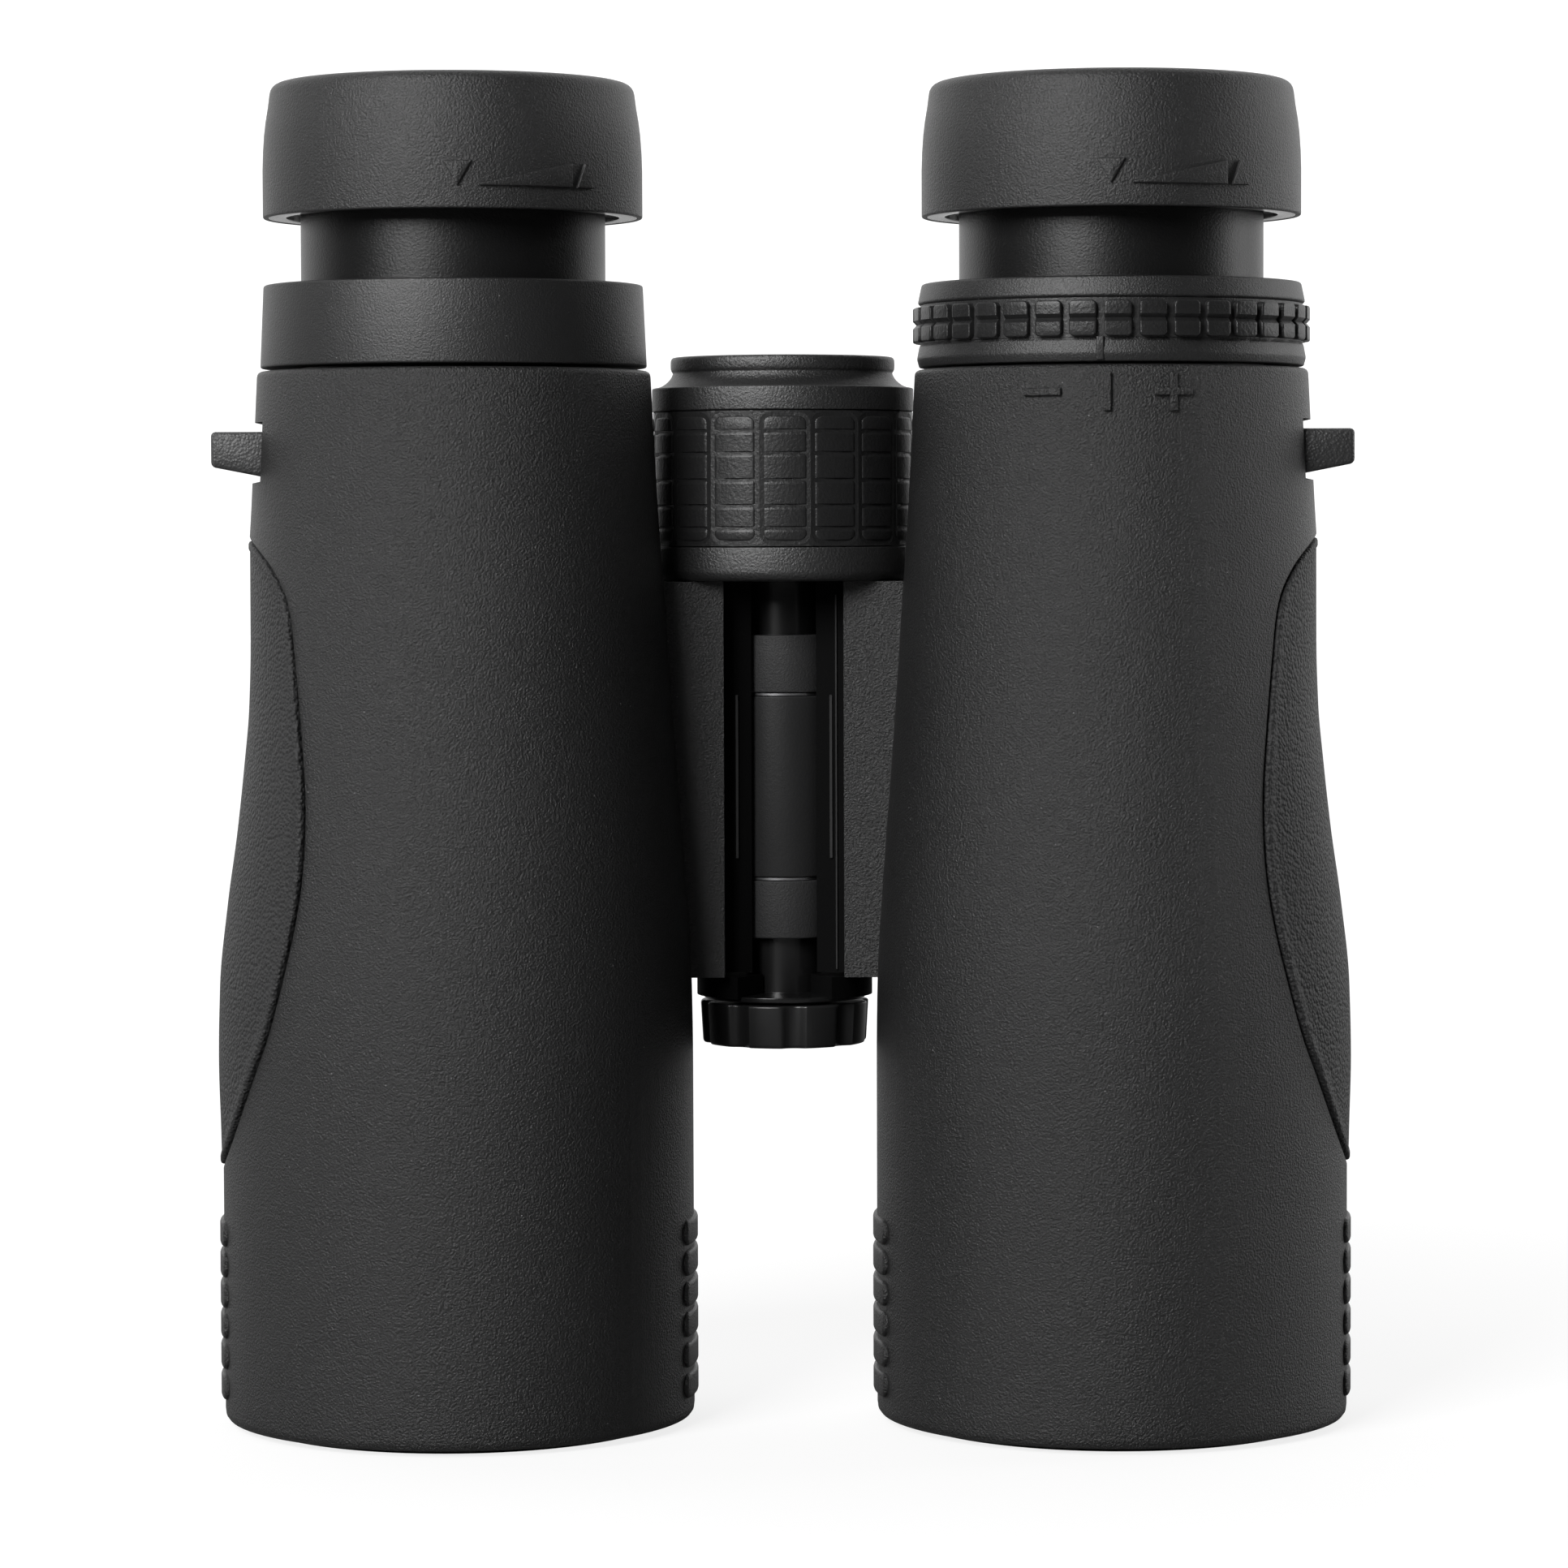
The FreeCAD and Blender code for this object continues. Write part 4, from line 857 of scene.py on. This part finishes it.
def cupMarks(shape, centre, start):
    # down triangle, ramp and up triangle round the cup
    span = cup["markHigh"]
    low, high = cup["mark"] - span / 2, cup["mark"] + span / 2
    down, up, thin, reach = cup["downHalf"], cup["upHalf"], cup["wedgeThin"], cup["wedgeReach"]
    figures = [
        (0.0, down, lambda s: low + span * abs(s) / down, lambda s: high),
        (cup["wedgeAt"], cup["wedgeHalf"], lambda s: low,
         lambda s: low + thin + (span - thin) * (s + reach) / (2 * reach)),
        (cup["upAt"], up, lambda s: low, lambda s: high - span * abs(s) / up),
    ]
    for theta, half, lowLine, highLine in figures:
        pad = {"half": half, "low": lowLine, "high": highLine, "lift": cup["lift"], "edge": cup["edge"],
               "bury": cup["bury"], "rows": [], "dent": lambda z: 0.0, "columns": 16}
        padOnRound(shape, pad, centre, start + theta, cupRadius)


def eyeEnd(side):
    axis = axes[side]
    body = side + "_barrel"
    turned(side + "Neck", axis, neck, "neck", body, "neck_plastic", side + "_eyepiece_housing")
    finish(makePiece(side + "EyeLens", lensShape(axis, eyeLens), looks["eyeGlass"]), body, "glass",
           side + "_eye_lens")
    turned(side + "EyeLensRing", axis, eyeRing, "anodised", body, "black_anodised", side + "_eye_lens_ring")
    turned(side + "CupSleeve", axis, sleeve, "sleeve", side + "_cup_slide", "sleeve_plastic",
           side + "_eyecup_sleeve")
    turned(side + "CupShell", axis, cupShell, "sleeve", side + "_eyecup", "sleeve_plastic",
           side + "_eyecup_shell")
    rubber = newShape()
    wall = [(cupRadius(z), z, 0) for z in cup["levels"]]
    lathe(rubber, axis, cup["foot"] + wall + cup["inside"], cup["segments"], cup["steps"])
    cupMarks(rubber, axis, cup["start"][side])
    finish(makePiece(side + "Eyecup", rubber, looks["cup"]), side + "_eyecup", "eyecup_rubber",
           side + "_eyecup_rubber")


collar = {
    "outline": [(17.15, 118.95, 0), (21.72, 118.95, 0.3), (21.3, 128.2, 0.3), (17.15, 128.2, 0.1)],
    "segments": 128,
}


diopter = {
    "outline": [(18.6, 118.85, 0), (21.6, 118.85, 0.2), (21.85, 119.8, 0.2), (21.6, 121.15, 0.2),
                (21.45, 121.4, 0), (21.45, 125.8, 0), (21.75, 126.05, 0.25), (21.3, 128.2, 0.3),
                (17.4, 128.2, 0.2), (17.4, 123.6, 0), (18.6, 123.6, 0)],
    "segments": 144, "band": [(21.4, 121.5, 0), (21.55, 121.5, 0), (21.55, 125.6, 0), (21.4, 125.6, 0)],
    "pads": 36, "floor": 21.4, "top": 22.3, "low": 121.6, "high": 125.5, "groove": 123.6,
    "grooveDeep": 0.42, "grooveRows": (-1.0, -0.44, -0.2, 0, 0.2, 0.44, 1.0), "padHalf": 1.53,
    "corner": 0.55, "edge": 0.18, "turn": 10.0, "offset": -1.6, "bury": 0.1,
}
index = {
    "at": -6.7, "half": 0.42, "low": 119.0, "high": 121.6, "corner": 0.1, "lift": 0.42, "edge": 0.12,
    "bury": 0.3, "floor": 21.5, "round": 21.9,
}


def diopterRing():
    turned("diopterRing", rightAxis, diopter, "collar", "diopter_ring", "collar_paint", "diopter_ring")
    mid, floor = diopter["groove"], diopter["floor"]

    def dent(z):
        return max(0.0, diopter["grooveDeep"] - abs(z - mid))

    shape, band, line = newShape(), newShape(), newShape()
    rows = [mid + z for z in diopter["grooveRows"]]
    pad = roundedPad(diopter["padHalf"], diopter["low"], diopter["high"], diopter["corner"],
                     diopter["top"] - floor, diopter["edge"], diopter["bury"], rows, dent, 4)
    padOnRound(shape, pad, (0, 0), diopter["offset"], lambda z: floor, lambda z: diopter["top"])
    pads = repeated(makePiece("diopterPad", shape, looks["wheelRubber"]), rightAxis, diopter["pads"],
                    diopter["turn"])
    lathe(band, rightAxis, diopter["band"], diopter["segments"])
    ridge = roundedPad(index["half"], index["low"], index["high"], index["corner"], index["lift"],
                       index["edge"], index["bury"])
    padOnRound(line, ridge, rightAxis, index["at"], lambda z: index["floor"], lambda z: index["round"])
    ridge = makePiece("diopterIndex", line, looks["wheelRubber"])
    finish(ridge, "diopter_ring", "collar_paint", "diopter_ring")
    whole = joinPieces("diopterGrip", [pads, makePiece("diopterBand", band, looks["wheelRubber"])])
    finish(whole, "diopter_ring", "grip_rubber", "diopter_grip")


for side in ("left", "right"):
    objectiveEnd(side)
    eyeEnd(side)
turned("leftCollar", leftAxis, collar, "collar", "left_barrel", "collar_paint", "left_collar_ring")
diopterRing()
print("objectives and eyepieces done")


hub = {
    "outline": [(4.3, 94.9, 0), (14.4, 94.9, 0.5), (14.95, 95.75, 0.4), (15.0, 98.75, 0.15),
                (14.1, 98.8, 0), (14.1, 114.17, 0), (15.0, 114.2, 0.15), (15.0, 116.85, 0.2),
                (13.9, 117.05, 0.7), (12.95, 117.8, 0.6), (12.55, 118.6, 0.2), (12.85, 118.95, 0.5),
                (12.85, 120.4, 0.95), (11.9, 120.4, 0.3), (11.8, 118.5, 0), (6.5, 118.4, 0), (6.5, 106, 0),
                (4.3, 106, 0)],
    "segments": 128,
}
wheelBand = {
    "outline": [(14.0, 98.9, 0), (14.85, 98.9, 0.1), (14.85, 99.0, 0), (14.2, 99.05, 0), (14.2, 114.05, 0),
                (14.85, 114.1, 0), (14.85, 114.2, 0.1), (14.0, 114.2, 0)],
    "segments": 128,
}
wheelCap = {
    "outline": [(0, 118.5, 0), (11.7, 118.5, 0), (11.7, 119.5, 0.1), (11.3, 119.9, 0.2), (9.6, 119.9, 0.2),
                (9.4, 119.6, 0.2), (0, 119.6, 0)],
}
wheel = {
    "radius": 15.0, "pads": 16, "padHalf": 2.5, "gap": 0.24, "corner": 0.9, "padCorner": 0.95, "edge": 0.25,
    "bury": 0.2, "frameEdge": [(0, 14.1), (0, 14.72), (0.05, 14.88), (0.16, 14.95)], "ribTop": 14.95,
    "bandLow": 98.95, "bandHigh": 114.15, "low": 99.45, "high": 113.5, "floor": 14.3, "offset": 0.8,
    "grooves": (101.0, 103.5, 106.4, 109.4, 111.9), "depth": 0.24, "grooveBelow": 0.48, "grooveAbove": 0.12,
    "grooveRows": (-0.6, -0.48, -0.24, 0, 0.12, 0.2),
}


def padFrame(shape):
    # one cell of the wheel's skin: a rounded opening for the pad inside a plain rectangle
    radius, corner = wheel["radius"], wheel["corner"]
    mid = (wheel["low"] + wheel["high"]) / 2
    coreS, coreZ = wheel["padHalf"] - corner, (wheel["high"] - wheel["low"]) / 2 - corner
    edgeS, edgeZ = math.pi * radius / wheel["pads"], (wheel["bandHigh"] - wheel["bandLow"]) / 2
    inner, outer = [], []
    for signS, signZ in ((1, 1), (-1, 1), (-1, -1), (1, -1)):
        rim = [(edgeS, coreZ), (edgeS, (coreZ + edgeZ) / 2), (edgeS, edgeZ), ((coreS + edgeS) / 2, edgeZ),
               (coreS, edgeZ)]
        arc = [(coreS, coreZ, math.cos(math.pi / 8 * k), math.sin(math.pi / 8 * k)) for k in range(5)]
        if signS * signZ < 0:
            arc, rim = arc[::-1], rim[::-1]
        inner += [(signS * s, signZ * z, signS * c, signZ * n) for s, z, c, n in arc]
        outer += [(signS * s, signZ * z) for s, z in rim]
    verts = []

    def place(s, z, top):
        return onRound((0, 0), top, wheel["offset"] + math.degrees(s / radius), mid + z)

    for away, top in wheel["frameEdge"]:
        grow = corner + wheel["gap"] + away
        verts += [place(s + c * grow, z + n * grow, top) for s, z, c, n in inner]
    verts += [place(s, z, wheel["ribTop"]) for s, z in outer]
    addTo(shape, verts, ringFaces(openRows(len(wheel["frameEdge"]) + 1), len(inner)))


def focusWheel():
    turned("wheelHub", hingeAxis, hub, "wheel", "focus_wheel", "wheel_paint", "focus_wheel_hub")
    floor, pitch = wheel["floor"], 360 / wheel["pads"]

    def dent(z):
        above, below = wheel["grooveAbove"], wheel["grooveBelow"]
        deep = [min(1 - (z - g) / above, 1 + (z - g) / below) for g in wheel["grooves"]]
        return max(0.0, wheel["depth"] * max(deep))

    rows = [g + z for g in wheel["grooves"] for z in wheel["grooveRows"]]
    shape, rib = newShape(), newShape()
    pad = roundedPad(wheel["padHalf"], wheel["low"], wheel["high"], wheel["padCorner"],
                     wheel["radius"] - floor, wheel["edge"], wheel["bury"], rows, dent, 6)
    padOnRound(shape, pad, (0, 0), wheel["offset"], lambda z: floor, lambda z: wheel["radius"])
    padFrame(rib)
    pads, between = (repeated(makePiece(name, part, looks["wheelRubber"]), hingeAxis, wheel["pads"], pitch)
                     for name, part in (("wheelPad", shape), ("wheelRib", rib)))
    whole = joinPieces("wheelGrip", [pads, between])
    # the band showing in the gaps round the pads is near-black painted shade
    turned("wheelBand", hingeAxis, wheelBand, "plate", "focus_wheel", "grip_rubber", "focus_wheel_grip")
    finish(whole, "focus_wheel", "grip_rubber", "focus_wheel_grip")
    turned("wheelCap", hingeAxis, wheelCap, "wheel", "focus_wheel", "wheel_paint", "focus_wheel_cap")


capShape = {
    "lobes": 9, "depth": 0.75, "land": 24.0, "start": -25.9, "segments": 216, "round": 0.7,
    "fluteFrom": 8.3, "fluteOver": 0.9,
    "outline": [(9.42, 41.7, 0.45), (9.7, 46.6, 0.3), (6.3, 46.6, 0.1), (6.3, 43.2, 0), (0, 43.2, 0),
                (0, 41.7, 0), (7.4, 41.7, 0.2), (7.6, 41.9, 0.2), (8.0, 41.9, 0.2), (8.2, 41.7, 0.2)],
}


def tripodCap():
    # screw cap with lands and flutes round its rim
    pitch, land = 360 / capShape["lobes"], capShape["land"]

    def flute(radius, theta):
        inCell = (theta - capShape["start"]) % pitch
        if inCell <= land:
            return 0.0
        share = max(0.0, min(1.0, (radius - capShape["fluteFrom"]) / capShape["fluteOver"]))
        wave = math.sin(math.pi * (inCell - land) / (pitch - land))
        return wave ** capShape["round"] * capShape["depth"] * share

    shape = newShape()
    lathe(shape, hingeAxis, capShape["outline"], capShape["segments"], 5, flute)
    finish(makePiece("tripodCap", shape, looks["cap"]), "tripod_cap", "cap_plastic", "tripod_cap")


shaft = {
    "outline": [(3.0, 54.0, 0), (4.2, 54.0, 0.1), (4.2, 109.4, 0.3), (3.0, 109.4, 0.1)], "segments": 72,
}
socket = {
    "outline": [(3.175, 43.6, 0.2), (6.0, 43.6, 0.3), (6.0, 46.9, 0), (9.3, 46.9, 0.2), (9.3, 47.5, 0.1),
                (4.25, 47.6, 0.1), (4.2, 54.0, 0), (0, 54.0, 0), (0, 52.0, 0), (3.175, 52.0, 0)],
}
saddle = {"outer": 10.1, "inner": 4.7, "open": 32, "low": 47.3, "high": 49.8, "bevel": 0.35}


def hingeParts():
    turned("hingeShaft", hingeAxis, shaft, "gloss", "left_barrel", "hinge_steel", "hinge_shaft")
    plate, opening = newShape(), saddle["open"]
    ring = [onRound(hingeAxis, saddle["outer"], theta, 0)[:2] for theta in range(opening, 361 - opening, 8)]
    back = range(360 - opening, opening - 1, -16)
    ring += [onRound(hingeAxis, saddle["inner"], theta, 0)[:2] for theta in back]
    prism(plate, ring, saddle["low"], saddle["high"], saddle["bevel"], 3)
    # the saddle is near-black painted shade, hiding the key light on its front faces
    finish(makePiece("hingeSaddle", plate, looks["plate"]), "left_barrel", "hinge_steel", "tripod_socket")
    turned("tripodSocket", hingeAxis, socket, "gloss", "left_barrel", "hinge_steel", "tripod_socket")


focusWheel()
tripodCap()
hingeParts()
print("wheel and hinge done")


bySlot = {"black_anodised": "anodised", "glass": "eyeGlass", "holder_plastic": "sleeve",
          "spring_steel": "steel", "brass": "brass", "casting_paint": "casting", "neck_plastic": "neck",
          "sleeve_plastic": "sleeve", "hinge_steel": "gloss", "wheel_paint": "wheel", "cap_plastic": "cap",
          "armor_rubber": "armor", "grip_rubber": "grip", "collar_paint": "collar", "lug_paint": "lug",
          "eyecup_rubber": "cup"}


def dressFrame():
    # gives the frame's own pieces the looks of their slots
    slots = {row["node"]: row["material_slot"] for row in frame["record"]["subparts"]}
    for name, item in frame["nodes"].items():
        isPrism = name.endswith("prism") and "clamp" not in name
        look = looks["eyeGlass" if isPrism else bySlot[slots[name]]]
        if item.data.materials:
            for i in range(len(item.data.materials)):
                item.data.materials[i] = look
        else:
            item.data.materials.append(look)


dressFrame()


# lights: azimuth from the camera side towards +X, elevation, distance, width, height, power
studio = {
    "key": (-32.0, 28.0, 0.90, 0.42, 0.45, 9.0), "side": (-82.0, 15.0, 0.90, 0.30, 0.60, 1.0),
    "fill": (104.0, 12.0, 0.90, 0.25, 0.60, 1.8), "target": (0, 0, 0.08), "dark": 0.003, "bright": 1.2,
    "from": 0.05, "to": 0.55, "floor": 0.4, "floorSize": 4.0, "floorTone": (0.22, 0.22, 0.22, 1),
    "floorRough": 0.9, "glowFrom": 0.08, "glowTo": 0.35, "paintedShadeGlow": 0.82,
}


def floorLook():
    # pale floor that fades into the white surroundings; behind the object it also lights and reflects
    look, tree, shader = newLook("paleFloor")
    place = addNode(tree, "TexCoord", {})["Object"]
    # the camera-seen glow is dimmer near the object: painted shade round its foot, which also lets the lamps'
    # real shadow show
    length = addNode(tree, "VectorMath", {0: place}, operation="LENGTH")["Value"]
    fade = addNode(tree, "MapRange", {"Value": length, "From Min": studio["glowFrom"],
                                      "From Max": studio["glowTo"], "To Min": studio["paintedShadeGlow"],
                                      "To Max": 1.0})["Result"]
    camera = addNode(tree, "LightPath", {})["Is Camera Ray"]
    seen = addNode(tree, "Math", {0: fade, 1: camera}, operation="MULTIPLY")[0]
    depth = addNode(tree, "SeparateXYZ", {0: place})["Y"]
    behind = addNode(tree, "MapRange", {"Value": depth, "From Min": studio["from"], "From Max": studio["to"],
                                        "To Max": studio["floor"]})["Result"]
    glow = addNode(tree, "Math", {0: seen, 1: behind}, operation="MAXIMUM")[0]
    feed(tree, shader, {"Base Color": studio["floorTone"], "Roughness": studio["floorRough"],
                        "Specular IOR Level": 0.0, "Emission Color": (1, 1, 1, 1), "Emission Strength": glow})
    return look


def buildWorld():
    # white to the camera, bright behind the object and dark in front of it for everything else
    world = bpy.data.worlds.new("studio")
    bpy.context.scene.world = world
    world.use_nodes = True
    tree = world.node_tree
    place = addNode(tree, "TexCoord", {})["Generated"]
    depth = addNode(tree, "SeparateXYZ", {0: place})["Y"]
    ramp = addNode(tree, "MapRange", {"Value": depth, "From Min": studio["from"], "From Max": studio["to"],
                                      "To Min": studio["dark"], "To Max": studio["bright"]},
                   interpolation_type="SMOOTHSTEP")["Result"]
    camera = addNode(tree, "LightPath", {})["Is Camera Ray"]
    glow = addNode(tree, "Math", {0: ramp, 1: camera}, operation="MAXIMUM")[0]
    feed(tree, tree.nodes["Background"], {"Color": (1, 1, 1, 1), "Strength": glow})


def buildStudio():
    bm = bmesh.new()
    bmesh.ops.create_grid(bm, x_segments=1, y_segments=1, size=studio["floorSize"])
    mesh = bpy.data.meshes.new("floor")
    bm.to_mesh(mesh)
    bm.free()
    mesh.materials.append(floorLook())
    floor = placed("floor", mesh)
    buildWorld()
    for name in ("key", "side", "fill"):
        azimuth, elevation, distance, wide, tall, power = studio[name]
        light = bpy.data.lights.new(name, "AREA")
        light.shape = "RECTANGLE"
        light.size, light.size_y, light.energy = wide, tall, power
        lamp = placed(name, light)
        a, e = math.radians(azimuth), math.radians(elevation)
        away = Vector((math.sin(a) * math.cos(e), -math.cos(a) * math.cos(e), math.sin(e)))
        lamp.location = Vector(studio["target"]) + away * distance
        lamp.visible_glossy = name != "side"      # the side light only softens the shadows
        lamp.rotation_euler = away.to_track_quat("Z", "Y").to_euler()


view = {
    "distance": 0.585, "height": 0.101, "pitch": 2.84, "roll": -0.2, "lens": 118.9, "sensor": 36.0,
}


def buildCamera():
    data = bpy.data.cameras.new("camera")
    data.lens = view["lens"]
    data.sensor_width = view["sensor"]
    camera = placed("camera", data)
    turn = (Matrix.Rotation(math.radians(90 - view["pitch"]), 4, "X")
            @ Matrix.Rotation(math.radians(view["roll"]), 4, "Z"))
    camera.matrix_world = Matrix.Translation((0, -view["distance"], view["height"])) @ turn
    bpy.context.scene.camera = camera
    bpy.context.scene.view_settings.view_transform = "Standard"


buildStudio()
buildCamera()
print("studio done")
